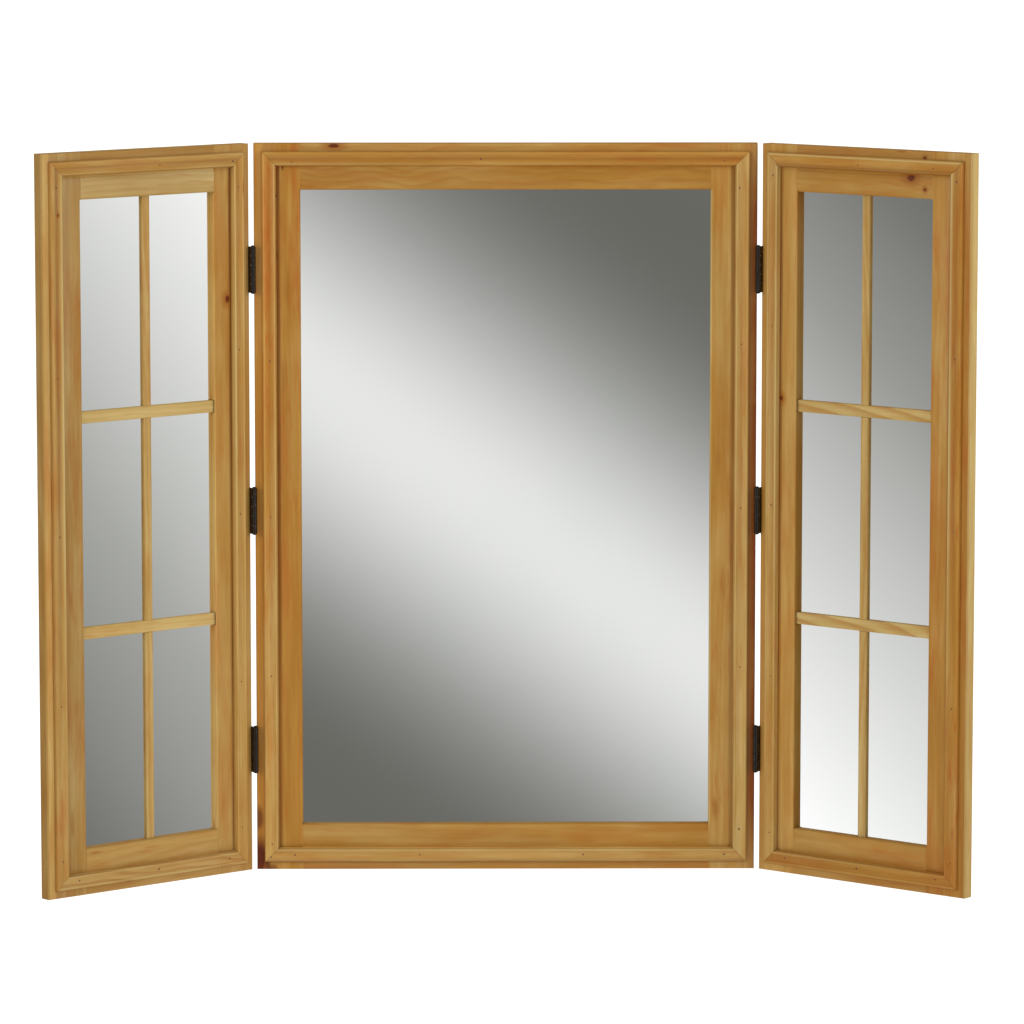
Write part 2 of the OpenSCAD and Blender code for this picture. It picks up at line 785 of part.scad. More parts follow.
shutter_place(1) hinge_stile();  // right_hinge_stile
shutter_place(1) outer_stile();  // right_outer_stile
shutter_place(1) to_top() shutter_bottom_rail();  // right_top_rail
shutter_place(1) shutter_bottom_rail();  // right_bottom_rail
shutter_place(1) upright_moulding();  // right_hinge_moulding
shutter_place(1) across(shutter_w) upright_moulding();  // right_outer_moulding
shutter_place(1) to_top() level_moulding(shutter_w);  // right_top_moulding
shutter_place(1) level_moulding(shutter_w);  // right_bottom_moulding
shutter_place(1) upright_bar();  // right_upright_bar
shutter_place(1) level_bar(1);  // right_upper_bar
shutter_place(1) level_bar(0);  // right_lower_bar
shutter_place(1) mirror_glass(shutter_w, hinge_stile_w, outer_stile_w);  // right_mirror
shutter_place(1) backing_board(shutter_w, hinge_stile_w, outer_stile_w);  // right_backing
shutter_place(1) shutter_glazing_points();  // right_glazing_points

frame_leaf(-1, hinge_z[2]);  // left_top_frame_leaf
frame_leaf(-1, hinge_z[1]);  // left_middle_frame_leaf
frame_leaf(-1, hinge_z[0]);  // left_bottom_frame_leaf
shutter_leaf(-1, hinge_z[2]);  // left_top_shutter_leaf
shutter_leaf(-1, hinge_z[1]);  // left_middle_shutter_leaf
shutter_leaf(-1, hinge_z[0]);  // left_bottom_shutter_leaf
frame_leaf(1, hinge_z[2]);  // right_top_frame_leaf
frame_leaf(1, hinge_z[1]);  // right_middle_frame_leaf
frame_leaf(1, hinge_z[0]);  // right_bottom_frame_leaf
shutter_leaf(1, hinge_z[2]);  // right_top_shutter_leaf
shutter_leaf(1, hinge_z[1]);  // right_middle_shutter_leaf
shutter_leaf(1, hinge_z[0]);  // right_bottom_shutter_leaf
hinge_pins(-1);  // left_hinge_pins
hinge_pins(1);  // right_hinge_pins
frame_hinge_screws();
shutter_hinge_screws(-1);  // left_shutter_hinge_screws
shutter_hinge_screws(1);  // right_shutter_hinge_screws
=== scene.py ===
# %% [markdown]
# # A three-part shutter mirror in stained pine
#
# The real object is a wall mirror with two glazed shutters. A wide centre panel carries one
# tall mirror. A narrow shutter hangs on each side of it, on three black butt hinges, and has
# glazing bars over its own mirror. All the wood is pine with a honey stain and a satin coat.
#
# The CAD model already has every board, strip, bar, hinge and screw at its real size. This
# lesson gives those parts their looks: wood that is cut from one grain field, silvered glass,
# black iron, and the small nails that hold the mouldings.

# %% Load the frame
import json
import math
import random

import bmesh
import bpy
from mathutils import Matrix, Vector
from mathutils.bvhtree import BVHTree

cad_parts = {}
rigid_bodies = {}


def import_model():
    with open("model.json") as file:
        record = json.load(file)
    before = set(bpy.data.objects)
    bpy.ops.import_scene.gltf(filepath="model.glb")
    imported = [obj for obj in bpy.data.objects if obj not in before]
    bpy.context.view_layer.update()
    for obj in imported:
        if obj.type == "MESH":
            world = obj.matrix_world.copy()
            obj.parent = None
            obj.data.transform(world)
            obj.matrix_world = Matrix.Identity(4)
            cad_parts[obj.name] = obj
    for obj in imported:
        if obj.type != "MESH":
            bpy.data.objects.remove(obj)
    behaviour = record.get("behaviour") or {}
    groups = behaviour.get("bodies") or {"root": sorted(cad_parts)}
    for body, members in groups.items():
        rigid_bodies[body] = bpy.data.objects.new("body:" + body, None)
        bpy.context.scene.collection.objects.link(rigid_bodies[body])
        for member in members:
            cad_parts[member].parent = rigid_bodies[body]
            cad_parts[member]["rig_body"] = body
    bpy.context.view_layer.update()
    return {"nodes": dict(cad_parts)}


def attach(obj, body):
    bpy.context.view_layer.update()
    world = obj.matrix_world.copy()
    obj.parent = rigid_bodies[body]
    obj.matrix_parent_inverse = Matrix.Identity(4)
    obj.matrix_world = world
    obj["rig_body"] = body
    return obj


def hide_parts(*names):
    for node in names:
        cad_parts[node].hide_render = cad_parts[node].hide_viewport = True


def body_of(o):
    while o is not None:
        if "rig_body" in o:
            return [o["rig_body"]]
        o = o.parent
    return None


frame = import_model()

nodes = frame["nodes"]

# %% [markdown]
# ## The panels' own coordinates
#
# Each shutter stands turned by 39 degrees about its hinge pin. A board's grain has to turn
# with it. So every panel gets a pin (the point about which it is turned) and a turn, and both
# the wood and the nails are laid out in the panel's own flat coordinates: x across, y through
# and z up.

# %% Where each panel stands
PANEL_W, PANEL_H, BOARD_T = 0.52, 0.76, 0.014
HINGE_GAP, MEETING_GAP = 0.0016, 0.002
MOULDING_H, FOLD_GAP = 0.005, 0.0005
SHUTTER_W = (PANEL_W - MEETING_GAP) / 2
PIN_X = (PANEL_W + HINGE_GAP) / 2
PIN_Y = -BOARD_T / 2 - MOULDING_H - FOLD_GAP / 2
OPEN = math.radians(39)
PANEL_TURN = {"centre": 0.0, "left": OPEN, "right": -OPEN}
PANEL_PIN = {"centre": (0, 0, 0), "left": (-PIN_X, PIN_Y, 0), "right": (PIN_X, PIN_Y, 0)}
PANEL_BODY = {"centre": "centre_panel", "left": "left_shutter", "right": "right_shutter"}
SHUTTER_MIDDLE = (HINGE_GAP + SHUTTER_W) / 2
PANEL_HALF = {"centre": PANEL_W / 2, "left": SHUTTER_W / 2, "right": SHUTTER_W / 2}
PANEL_MIDDLE = {"centre": 0.0, "left": -SHUTTER_MIDDLE, "right": SHUTTER_MIDDLE}


def panel_matrix(panel):
    """Takes a point from the panel's own coordinates to the object's."""
    return Matrix.Translation(PANEL_PIN[panel]) @ Matrix.Rotation(PANEL_TURN[panel], 4, "Z")


for panel in PANEL_PIN:
    corner = panel_matrix(panel) @ Vector((0.1, 0, 0))
    print(panel, [round(c, 4) for c in corner])

# %% [markdown]
# ## Shader maths as plain expressions
#
# A material is a tree of nodes. Written node by node, a formula of five terms takes thirty
# lines. Here one small class wraps a socket and overloads the operators, so that `1 - mask`
# or `a * b + c` adds the Math nodes by itself. Every other node comes from one method, `add`,
# which sets the node's settings first and its sockets after that.

# %% A socket that takes part in sums


class Value:
    """A number that a node tree works out, as one output socket."""

    def __init__(self, tree, socket):
        self.tree, self.socket = tree, socket

    def math(self, operation, *others):
        """One Math node, with this value first."""
        return self.tree.add("ShaderNodeMath", {"operation": operation}, dict(enumerate((self,) + others)))

    def __add__(self, other): return self.math("ADD", other)
    def __radd__(self, other): return self.math("ADD", other)
    def __sub__(self, other): return self.math("SUBTRACT", other)
    def __rsub__(self, other): return self.tree.number("SUBTRACT", other, self)
    def __mul__(self, other): return self.math("MULTIPLY", other)
    def __rmul__(self, other): return self.math("MULTIPLY", other)
    def __truediv__(self, other): return self.math("DIVIDE", other)
    def __rtruediv__(self, other): return self.tree.number("DIVIDE", other, self)
    def __pow__(self, other): return self.math("POWER", other)
    def __neg__(self): return self.math("MULTIPLY", -1)

    def ramp(self, start, end, low=0.0, high=1.0):
        """Runs smoothly from low at start to high at end, and is level beyond them."""
        return self.tree.add("ShaderNodeMapRange", {"interpolation_type": "SMOOTHSTEP"},
                             {0: self, 1: start, 2: end, 3: low, 4: high})


# %% A node tree that is written as expressions


class Tree:
    """Builds the nodes of a material, a world or a Geometry Nodes group."""

    def __init__(self, node_tree):
        self.node_tree = node_tree
        node_tree.nodes.clear()

    def add(self, kind, settings=None, sockets=None, out=0):
        """Adds a node, sets it up, and hands back one of its outputs, or the node if it has none."""
        node = self.node_tree.nodes.new(kind)
        for name, setting in (settings or {}).items():
            if name == "stops":
                self.set_stops(node.color_ramp, setting)
            else:
                setattr(node, name, setting)
        for name, value in (sockets or {}).items():
            target = node.inputs[name]
            if isinstance(value, Value):
                self.node_tree.links.new(value.socket, target)
            else:
                target.default_value = value
        return Value(self, node.outputs[out]) if len(node.outputs) else node

    @staticmethod
    def set_stops(ramp, stops):
        while len(ramp.elements) < len(stops):
            ramp.elements.new(1.0)
        for element, (position, colour) in zip(ramp.elements, stops):
            element.position = position
            element.color = colour

    def number(self, operation, first, second):
        return self.add("ShaderNodeMath", {"operation": operation}, {0: first, 1: second})

    def other(self, value, out):
        """Another output of the node that value comes from."""
        return Value(self, value.socket.node.outputs[out])

    def mix(self, factor, first, second):
        """Blends two colours. The colour sockets of a Mix node are 6 and 7, its output is 2."""
        return self.add("ShaderNodeMix", {"data_type": "RGBA"}, {0: factor, 6: first, 7: second}, out=2)

    def noise(self, where, scale, detail, roughness, seed):
        """Soft noise about 0.5. The seed moves the place that is looked at."""
        return self.add("ShaderNodeTexNoise", {"noise_dimensions": "4D"},
                        {"Vector": where, "W": seed, "Scale": scale, "Detail": detail,
                         "Roughness": roughness})

    def vector(self, x, y, z):
        return self.add("ShaderNodeCombineXYZ", None, {0: x, 1: y, 2: z})


def srgb(red, green, blue):
    """A colour as it is read off a screen, from 0 to 255, made linear."""
    def linear(level):
        level = level / 255
        return level / 12.92 if level <= 0.04045 else ((level + 0.055) / 1.055) ** 2.4
    return (linear(red), linear(green), linear(blue), 1.0)


def new_material(name):
    """An empty material, and its tree to write in."""
    material = bpy.data.materials.new(name)
    material.use_nodes = True
    return material, Tree(material.node_tree)


def shade(tree, **inputs):
    """Ends a material in a Principled shader. Underscores in names stand for spaces."""
    shader = tree.add("ShaderNodeBsdfPrincipled", None, {n.replace("_", " "): v for n, v in inputs.items()})
    tree.add("ShaderNodeOutputMaterial", None, {"Surface": shader})


print("maths ready")

# %% [markdown]
# ## Pine
#
# A pine board shows the tree's yearly rings where the saw met them. Each ring is a pale, wide
# spring band that ends in a thin, darker summer line. The simplest honest model is the log
# itself: take the distance from the log's middle, bend it a little, and repeat the same pale
# to dark step every few millimetres. Because the pattern fills space, the face, the edge and
# the end of a board all agree with each other, and a cut end shows arcs by itself.
#
# Over the rings lie finer things: long fibres, streaks and clouds where the stain took
# unevenly, and red blotches and dashes. Knots are branches, so each one is a dark rod through
# the board that pushes the rings aside.

# %% Board coordinates


def board_place(tree, panel, upright):
    """Along, across and through the board, in metres, from the object's own coordinates."""
    turn = -PANEL_TURN[panel]
    back = Matrix.Rotation(turn, 4, "Z") @ Vector(PANEL_PIN[panel])
    here = tree.add("ShaderNodeTexCoord", out="Object")
    flat = tree.add("ShaderNodeMapping", {"vector_type": "POINT"},
                    {"Vector": here, "Location": tuple(-back), "Rotation": (0, 0, turn)})
    x = tree.add("ShaderNodeSeparateXYZ", None, {0: flat})
    y, z = tree.other(x, 1), tree.other(x, 2)
    return (z, x, y) if upright else (x, z, y)


def insets(panel, along, across, upright):
    """How far inside the panel's nearer side, and inside its nearer end, a point lies."""
    x, z = (across, along) if upright else (along, across)
    side = PANEL_HALF[panel] - (x - PANEL_MIDDLE[panel]).math("ABSOLUTE")
    end = PANEL_H / 2 - (z - PANEL_H / 2).math("ABSOLUTE")
    return side, end


def near(distance, place, reach):
    """1 at a place, falling to 0 at a reach on either side of it."""
    return (distance - place).math("ABSOLUTE").ramp(reach, 0.0)


print("a board's place is measured along, across and through it")

# %% The rings and the knots

# How fast a noise changes along and across the grain, for each metre.
SLOW, WANDER = (2.1, 9.0), (17, 30)
# How far the log's middle strays sideways and in depth, in metres.
SIDE_SWAY, DEPTH_SWAY = 0.05, 0.06
# A ring darkens between the first two parts of its width, and ends at the last.
RING_DARKENS, RING_DARK, RING_ENDS = 0.2, 0.85, 1.0
# A knot pushes the rings aside by this many years, out to this many of its radii.
KNOT_PUSH, KNOT_PUSH_REACH = 0.9, 3.0


def stretched(tree, place, lengthwise, crosswise):
    """A place to look up noise at, drawn out along the grain."""
    along, across, through = place
    return tree.vector(along * lengthwise, across * crosswise, through * crosswise)


def growth(tree, place, seed, pith, look):
    """How far a point is from the log's middle, counted in years."""
    along, across, through = place
    slow = stretched(tree, place, *SLOW)
    sway = tree.noise(slow, 1.0, 2.0, 0.5, seed) - 0.5
    dip = tree.noise(slow, 1.0, 1.0, 0.5, seed + 7.3) - 0.5
    wave = tree.noise(stretched(tree, place, *WANDER), 1.0, 1.0, 0.5, seed + 5) - 0.5
    side = across + along * look["lean"] - pith[0] + sway * SIDE_SWAY + wave * look["wave"]
    deep = through + pith[1] + dip * DEPTH_SWAY
    return (side * side + deep * deep) ** 0.5 / look["spacing"]


def from_mark(place, mark):
    """How far a point is from a mark's heart, in radii. A mark is (along, across, radius, stretch)."""
    along, across, radius, stretch = mark
    a, c = (place[0] - along) / (radius * stretch), (place[1] - across) / radius
    return (a * a + c * c) ** 0.5


def summer_lines(years, knots):
    """1 on the dark summer lines, which bend round every knot."""
    for away in knots:
        years = years + (1 - away.math("MINIMUM", KNOT_PUSH_REACH) / KNOT_PUSH_REACH) ** 2 * KNOT_PUSH
    step = years.math("FRACT")
    return step.ramp(RING_DARKENS, RING_DARK) * (1 - step.ramp(RING_DARK, RING_ENDS))


print("a ring is darkest", RING_DARK, "of the way through its year")

# %% [markdown]
# ## What stain and light do to a board
#
# A stain is wiped on with a cloth, and it pools where the cloth can't reach. The darkening at
# both feet of the moulding, in its hollow, on its slopes and in the groove beside it is painted
# shade together with that pooled stain, and so is the darker band outside the moulding. The
# pale crests are a painted highlight together with wear, and a line beside the inner foot is
# painted light. So the wood has to know where it lies in its panel, and a few named places on
# the panel's face say that. Depth counts as well. Stains stay near the front, and only the faces
# and the mouldings are rubbed smooth: the edges between them are matt.

# %% Colours and places
# Two of these colours are painted shade together with stain: one darkens the moulding's feet, hollow and
# slopes and the groove beside it, the other the face outside the moulding.
PINE = {
    "heart": (srgb(180, 131, 52), srgb(166, 115, 38)),
    "sap": (srgb(190, 164, 106), srgb(176, 148, 86)),
    "summer": srgb(150, 94, 30),
    "red": srgb(168, 92, 24),
    "shade_and_stain": srgb(112, 56, 14),
    "band": srgb(126, 62, 3),
    "wine": srgb(78, 20, 0),
    "halo": srgb(148, 84, 18),
    "knot": srgb(94, 34, 0),
}

# The wood's finer noises: how fast they change along and across the grain, their detail and
# roughness, and what each one adds to the plank's seed.
NOISES = {
    "fibre": (22, 620, 3.0, 0.6, 0),
    "streak": (7, 140, 2.0, 0.5, 3),
    "cloud": (12, 34, 3.0, 0.55, 11),
    "blush": (11, 60, 3.0, 0.55, 21),
    "drift": (3.5, 40, 2.0, 0.5, 31),
    "fleck": (45, 330, 2.0, 0.5, 41),
}

# Places on a panel's face, counted inwards from its edge: the moulding's outer and inner foot,
# the crests of its bead and its nose, its hollow, the line of painted light beside its inner
# foot, the end of the groove inside it, and the rails' width, past which a stile stands beside
# the mirror.
OUTER_FOOT, BEAD, HOLLOW, NOSE, INNER_FOOT = 0.0083, 0.0103, 0.0156, 0.0209, 0.0233
LIFTED, GROOVE_END, RAIL_END = 0.0238, 0.0278, 0.0481
# How far each of those lines fades to either side, and the soft step between two tones.
FOOT_REACH, BEAD_REACH, HOLLOW_REACH, NOSE_REACH, INNER_REACH = 0.0013, 0.0016, 0.004, 0.0026, 0.0011
LIFT_REACH, SOFT = 0.002, 0.0004
# The panel's side face, and the line of a mitre: where each starts and where it is full.
SIDE_FACE, MITRE = (0.0013, 0.0003), (0.0008, 0.0002)
# Depths from the middle of a board, with the front below zero: where its front face starts,
# how deep stains go, and how far from the middle the satin finish starts.
FRONT, SOAK, SATIN = (-0.004, -0.005), (0.003, -0.005), (0.0055, 0.0066)
# Heights between which an upright board changes from its foot to its top, and the length over
# which the outer band fades in at a board's ends.
FALL, PAINTED_RELIEF_RISE, GROOVE_RISE, BAND_RISE = (0.1, 0.6), (0.12, 0.5), (0.1, 0.5), 0.09
print("pine colours:", ", ".join(PINE))

# %% What differs from plank to plank
# A plank has these values where the wood list below names no others.
# - sap: how pale and green the wood is. tone: how light it is. edge: the sap and the tone of
#   a stile's outer side.
# - spacing: the width of a ring. figure: how strongly the rings show. lean and wave: how far
#   they run aslant and how far they wander.
# - red and fleck: how much red stain there is in blotches and in short dashes.
# - rim: more sap for the face outside the moulding, and its tone. band: how dark that face is
#   made, painted shade together with stain, band_ends: how much of that is left at the board's
#   ends.
# - foot, inner, hollow and groove: how dark the moulding's feet, its hollow and the groove
#   beside it are, painted shade together with pooled stain. shade: the painted shade on its
#   inner and its outer slope.
# - crest: how pale the bead and the nose are, a painted highlight together with wear. lift: how
#   pale the line at the inner foot is, painted light.
# - sight: where the edge beside the mirror starts, more sap from there on, and the tone, which
#   is painted light above 1 and painted shade below 1.
# - fall: how much more sap and tone, and less red, an upright board has at its foot.
# - knots, streaks and smears: marks, each (along, across, radius, stretch). The last two are
#   dark and soft stains, with their strength at the end.
PLAIN = {
    "sap": 0.2, "tone": 0.84, "edge": (0.2, 0.84),
    "spacing": 0.0055, "figure": 0.14, "lean": 0.0, "wave": 0.006,
    "red": 0.3, "fleck": 0.25,
    "rim": (0.0, 1.0), "band": 0.1, "band_ends": 1.0,
    "foot": 0.12, "inner": 0.2, "hollow": 0.25, "groove": 0.2, "shade": (0.0, 0.0),
    "crest": (0.15, 0.3), "lift": 0.0,
    "sight": (0.2, 0.0, 1.0), "fall": (0.0, 0.0, 0.0),
    "knots": (), "streaks": (), "smears": (),
}
print("a plank has", len(PLAIN), "values")

# %% One point of a board


class Spot:
    """Any point of a board: where it lies, and the masks and noises that hold there."""

    def __init__(self, tree, panel, upright, seed, look):
        self.upright, self.place = upright, board_place(tree, panel, upright)
        along, across, through = self.place
        depth = through + PANEL_PIN[panel][1]
        self.side, self.end = insets(panel, along, across, upright)
        self.inset = self.side.math("MINIMUM", self.end)
        self.own, self.other = (self.side, self.end) if upright else (self.end, self.side)
        self.front, self.soaked = depth.ramp(*FRONT), depth.ramp(*SOAK)
        self.satin = depth.math("ABSOLUTE").ramp(*SATIN)
        self.edge = self.side.ramp(*SIDE_FACE)
        self.rim = self.own.ramp(OUTER_FOOT + SOFT, OUTER_FOOT - SOFT) * self.front
        # The sight mask gives the edge beside the mirror more sap and a tone: painted light where the tone
        # is above 1, painted shade where it is below 1.
        start = look["sight"][0]
        self.sight = self.own.ramp(start - SOFT, start) * self.other.ramp(RAIL_END - SOFT, RAIL_END)
        self.fall = along.ramp(*FALL, 0.5, -0.5) if upright else 0.0
        for kind, (lengthwise, crosswise, detail, roughness, more) in NOISES.items():
            where = stretched(tree, self.place, lengthwise, crosswise)
            setattr(self, kind, tree.noise(where, 1.0, detail, roughness, seed + more))

    def rising(self, heights, least):
        """From least at an upright board's foot to 1 at its top. A level board has 1."""
        return self.place[0].ramp(*heights, least, 1.0) if self.upright else 1.0


print("noises:", ", ".join(NOISES))

# %% The wood itself
# How much the slow noises shift a plank between heart and sap.
SAP_VARIES = 1.1
# Where the red stain sets in and is full, as levels of its noises. A side face takes less.
BLOTCHES, DASHES, DASH_PLACES, SIDE_RESISTS = (0.44, 0.74), (0.5, 0.72), (0.3, 0.55), 0.75
# How much the fibres, the streaks and the clouds change the lightness.
FIBRE_TONE, STREAK_TONE, CLOUD_TONE = 0.09, 0.08, 0.2


def plain_wood(tree, spot, look, summer):
    """Heart and sap, the summer lines, and red blotches and dashes."""
    sap = (spot.cloud - 0.5) * SAP_VARIES + (spot.drift - 0.5) * SAP_VARIES
    sap = sap + spot.edge * (look["edge"][0] - look["sap"]) + look["sap"]
    sap = sap + spot.fall * look["fall"][0] + spot.rim * look["rim"][0] + spot.sight * look["sight"][1]
    heart_and_sap = [tree.mix(spot.streak.ramp(0.3, 0.7), *PINE[kind]) for kind in ("heart", "sap")]
    colour = tree.mix(sap.math("MAXIMUM", 0.0).math("MINIMUM", 1.0), *heart_and_sap)
    colour = tree.mix(summer * look["figure"], colour, PINE["summer"])
    flush = 1 - spot.edge * SIDE_RESISTS - spot.fall * look["fall"][2]
    blotches = spot.blush.ramp(*BLOTCHES) * flush * look["red"]
    colour = tree.mix(blotches, colour, PINE["red"])
    dashes = spot.fleck.ramp(*DASHES) * spot.blush.ramp(*DASH_PLACES) * flush * look["fleck"]
    return tree.mix(dashes, colour, PINE["red"])


def lightness(spot, look):
    """How light the wood is, as the Hue Saturation node's value."""
    tone = spot.edge * (look["edge"][1] - look["tone"]) + look["tone"]
    tone = tone * (1 + spot.rim * (look["rim"][1] - 1))
    tone = tone * (1 + spot.fall * look["fall"][1])
    # The sight tone: painted light where it is above 1, painted shade where it is below 1.
    tone = tone * (1 + spot.sight * (look["sight"][2] - 1))
    # The lift lightens a line beside the moulding's inner foot: painted light.
    tone = tone * (1 + near(spot.inset, LIFTED, LIFT_REACH) * look["lift"] * spot.front)
    grain = (spot.fibre - 0.5) * FIBRE_TONE + (spot.streak - 0.5) * STREAK_TONE
    return grain + (spot.cloud - 0.5) * CLOUD_TONE + tone


print("red sets in at", BLOTCHES[0], "and is full at", BLOTCHES[1])

# %% Painted light and shade, and stain, on mouldings and on faces
# A noise's two levels, and the strength at each of them: for the crests' painted highlight
# with wear, for the band's painted shade with stain, and for the painted shade with pooled stain.
WORN_HIGHLIGHT, PATCHY, SHADE_AND_STAIN_NOISE = (0.25, 0.6, 0.35, 1.15), (0.3, 0.6, 0.7, 1.1), (0.3, 0.65, 0.55, 1.15)
# The strength of the moulding's painted highlight and shade, and of the groove's painted shade
# with stain, at the foot of an upright board, and of the line at a mitre.
PAINTED_RELIEF_AT_FOOT, GROOVE_AT_FOOT, MITRE_STAIN = 0.1, 0.5, 0.3
# How far in the outer band is full, what it has left at the moulding, and the groove's slopes.
BAND_FULL, BAND_LEFT, GROOVE_OUT, GROOVE_IN = 0.001, 0.6, 0.002, 0.001
# The moulding's inner and outer slope: where the painted shade on each starts and is full.
INNER_SLOPE, OUTER_SLOPE = (NOSE - 0.004, NOSE), (BEAD + 0.002, BEAD - 0.001)


def moulding_light_and_stain(tree, spot, look, colour):
    """Pale crests, a painted highlight with wear. Painted shade with pooled stain in the hollow and at the
    inner foot, painted shade on the slopes, and the mitres' line.
    """
    inset, shown = spot.inset, spot.rising(PAINTED_RELIEF_RISE, PAINTED_RELIEF_AT_FOOT)
    # The pale bead and nose are a painted highlight, together with wear.
    crest = near(inset, BEAD, BEAD_REACH) * look["crest"][0]
    crest = crest + near(inset, NOSE, NOSE_REACH) * spot.drift.ramp(*WORN_HIGHLIGHT) * look["crest"][1]
    colour = tree.mix((crest * shown).math("MINIMUM", 1.0), colour, PINE["sap"][0])
    # The darker hollow and inner foot are painted shade with pooled stain, the darker slopes painted shade.
    low = near(inset, HOLLOW, HOLLOW_REACH) * look["hollow"] * shown
    low = low + near(inset, INNER_FOOT, INNER_REACH) * look["inner"]
    low = low + inset.ramp(*INNER_SLOPE) * look["shade"][0]
    low = low + inset.ramp(*OUTER_SLOPE) * look["shade"][1]
    return colour, low + (spot.side - spot.end).math("ABSOLUTE").ramp(*MITRE) * MITRE_STAIN


def face_shade_and_stain(tree, spot, look, colour):
    """The band outside the moulding, darkened by painted shade with stain. Also the painted shade with
    pooled stain in the groove beside it.
    """
    # The darker outer band is painted shade together with stain.
    ends = spot.other.ramp(0.0, BAND_RISE, look["band_ends"], 1.0)
    full = look["band"]
    band = spot.rim * spot.own.ramp(OUTER_FOOT, BAND_FULL, full * BAND_LEFT, full) * ends
    colour = tree.mix((band * spot.cloud.ramp(*PATCHY)).math("MINIMUM", 1.0), colour, PINE["band"])
    # The groove's darkening is painted shade together with pooled stain.
    groove = spot.own.ramp(GROOVE_END, GROOVE_END - GROOVE_OUT)
    groove = groove * spot.inset.ramp(INNER_FOOT - GROOVE_IN, INNER_FOOT)
    return colour, groove * look["groove"] * spot.front * spot.rising(GROOVE_RISE, GROOVE_AT_FOOT)


# That groove's darkening is painted shade together with stain.
print("the groove's stain is", round((GROOVE_END - INNER_FOOT) * 1000, 1), "mm wide")

# %% Knots, streaks and smears
# Each kind of stain: its colour, how ragged it is, and where, in radii, it starts and is full.
STAINS = {"streaks": ("wine", 1.2, 1.3, 0.4), "smears": ("halo", 1.4, 1.3, 0.2)}
# The halo and the heart of a knot: where each starts and is full, in radii, and its strength.
HALO, HALO_STRENGTH, HEART, HEART_STRENGTH, KNOT_RAGGED = (2.8, 0.6), 0.75, (0.95, 0.45), 0.95, 0.6


def marks(tree, spot, look, colour, knots):
    """Dark streaks and soft smears, ragged at the rim, and each knot in its halo."""
    for kind, (hue, ragged, start, full) in STAINS.items():
        for *mark, strength in look[kind]:
            away = from_mark(spot.place, mark) + (spot.streak - 0.5) * ragged
            colour = tree.mix(away.ramp(start, full) * spot.soaked * strength, colour, PINE[hue])
    for away in knots:
        colour = tree.mix(away.ramp(*HALO) * HALO_STRENGTH, colour, PINE["halo"])
        ragged = away + (spot.fibre - 0.5) * KNOT_RAGGED
        colour = tree.mix(ragged.ramp(*HEART) * HEART_STRENGTH, colour, PINE["knot"])
    return colour


print("kinds of stain:", ", ".join(STAINS))

# %% One board's material
# The roughness of the satin finish, what the matt edges have more, and what the fibres change.
SATIN_ROUGH, MATT_MORE, FIBRE_ROUGH = 0.44, 0.4, 0.18
# The clear coat and the wood's own gloss. The last three make the relief that light picks out.
COAT, COAT_ROUGH, GLOSS = 0.03, 0.25, 0.18
FIBRE_HEIGHT, SUMMER_HEIGHT, RELIEF = 0.7, 0.5, {"Strength": 0.1, "Distance": 0.0003}


def pine(name, panel, upright, seed, pith, look, strip=False):
    """One board's wood, in its own panel's coordinates. A strip is a moulding."""
    look = {**PLAIN, **look}
    material, tree = new_material(name)
    spot = Spot(tree, panel, upright, seed, look)
    knots = [from_mark(spot.place, knot) for knot in look["knots"]]
    summer = summer_lines(growth(tree, spot.place, seed, pith, look), knots)
    colour = plain_wood(tree, spot, look, summer)
    colour, low = (moulding_light_and_stain if strip else face_shade_and_stain)(tree, spot, look, colour)
    # The dark line at the moulding's outer foot is painted shade with pooled stain; the mix below lays it on
    # together with the other painted shade that the board's kind gives.
    foot = near(spot.inset, OUTER_FOOT, FOOT_REACH) * look["foot"] * spot.front
    shade_and_stain = (foot + low) * spot.cloud.ramp(*SHADE_AND_STAIN_NOISE)
    colour = tree.mix(shade_and_stain.math("MINIMUM", 1.0), colour, PINE["shade_and_stain"])
    colour = marks(tree, spot, look, colour, knots)
    colour = tree.add("ShaderNodeHueSaturation", None, {"Color": colour, "Value": lightness(spot, look)})
    height = (spot.fibre * FIBRE_HEIGHT + summer * SUMMER_HEIGHT) * spot.satin
    relief = tree.add("ShaderNodeBump", None, {**RELIEF, "Height": height}, out="Normal")
    rough = SATIN_ROUGH + MATT_MORE - spot.satin * MATT_MORE + (spot.fibre - 0.5) * FIBRE_ROUGH
    shade(tree, Base_Color=colour, Roughness=rough, Normal=relief, Specular_IOR_Level=GLOSS,
          Coat_Weight=spot.satin * COAT, Coat_Roughness=COAT_ROUGH)
    return material


print("roughness of the faces:", SATIN_ROUGH, "and of the edges:", SATIN_ROUGH + MATT_MORE)

# %% [markdown]
# ## Wooden pieces with smooth arrises
#
# The CAD mesh is made of loose triangles, so each small facet of a rounded edge would catch
# the light by itself. The CAD mesh must not change. A merged copy may stand for it instead:
# its triangles share their corners, the round parts are shaded smooth, and every edge sharper
# than 35 degrees stays crisp.

# %% A merged copy of a CAD node
MERGE_WITHIN = 2e-6


def smooth_copy(node, name, material, body, sharp=35):
    """Stands for a CAD node, with the same shape, joined triangles and crisp arrises."""
    mesh = nodes[node].data.copy()
    mesh.name = name
    form = bmesh.new()
    form.from_mesh(mesh)
    bmesh.ops.remove_doubles(form, verts=form.verts, dist=MERGE_WITHIN)
    form.to_mesh(mesh)
    form.free()
    if "custom_normal" in mesh.attributes:
        mesh.attributes.remove(mesh.attributes["custom_normal"])
    mesh.shade_smooth()
    mesh.set_sharp_from_angle(angle=math.radians(sharp))
    mesh.materials.clear()
    mesh.materials.append(material)
    piece = bpy.data.objects.new(name, mesh)
    bpy.context.scene.collection.objects.link(piece)
    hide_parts(node)
    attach(piece, body)
    return piece


# %% [markdown]
# ## Every board, strip and bar
#
# Each piece of wood comes from its own plank, so each gets its own seed, its own depth under
# the log's middle and a slightly different tone. The list names what differs. The rest comes
# from the piece's name: stiles and side strips run upright, rails and top strips run level.

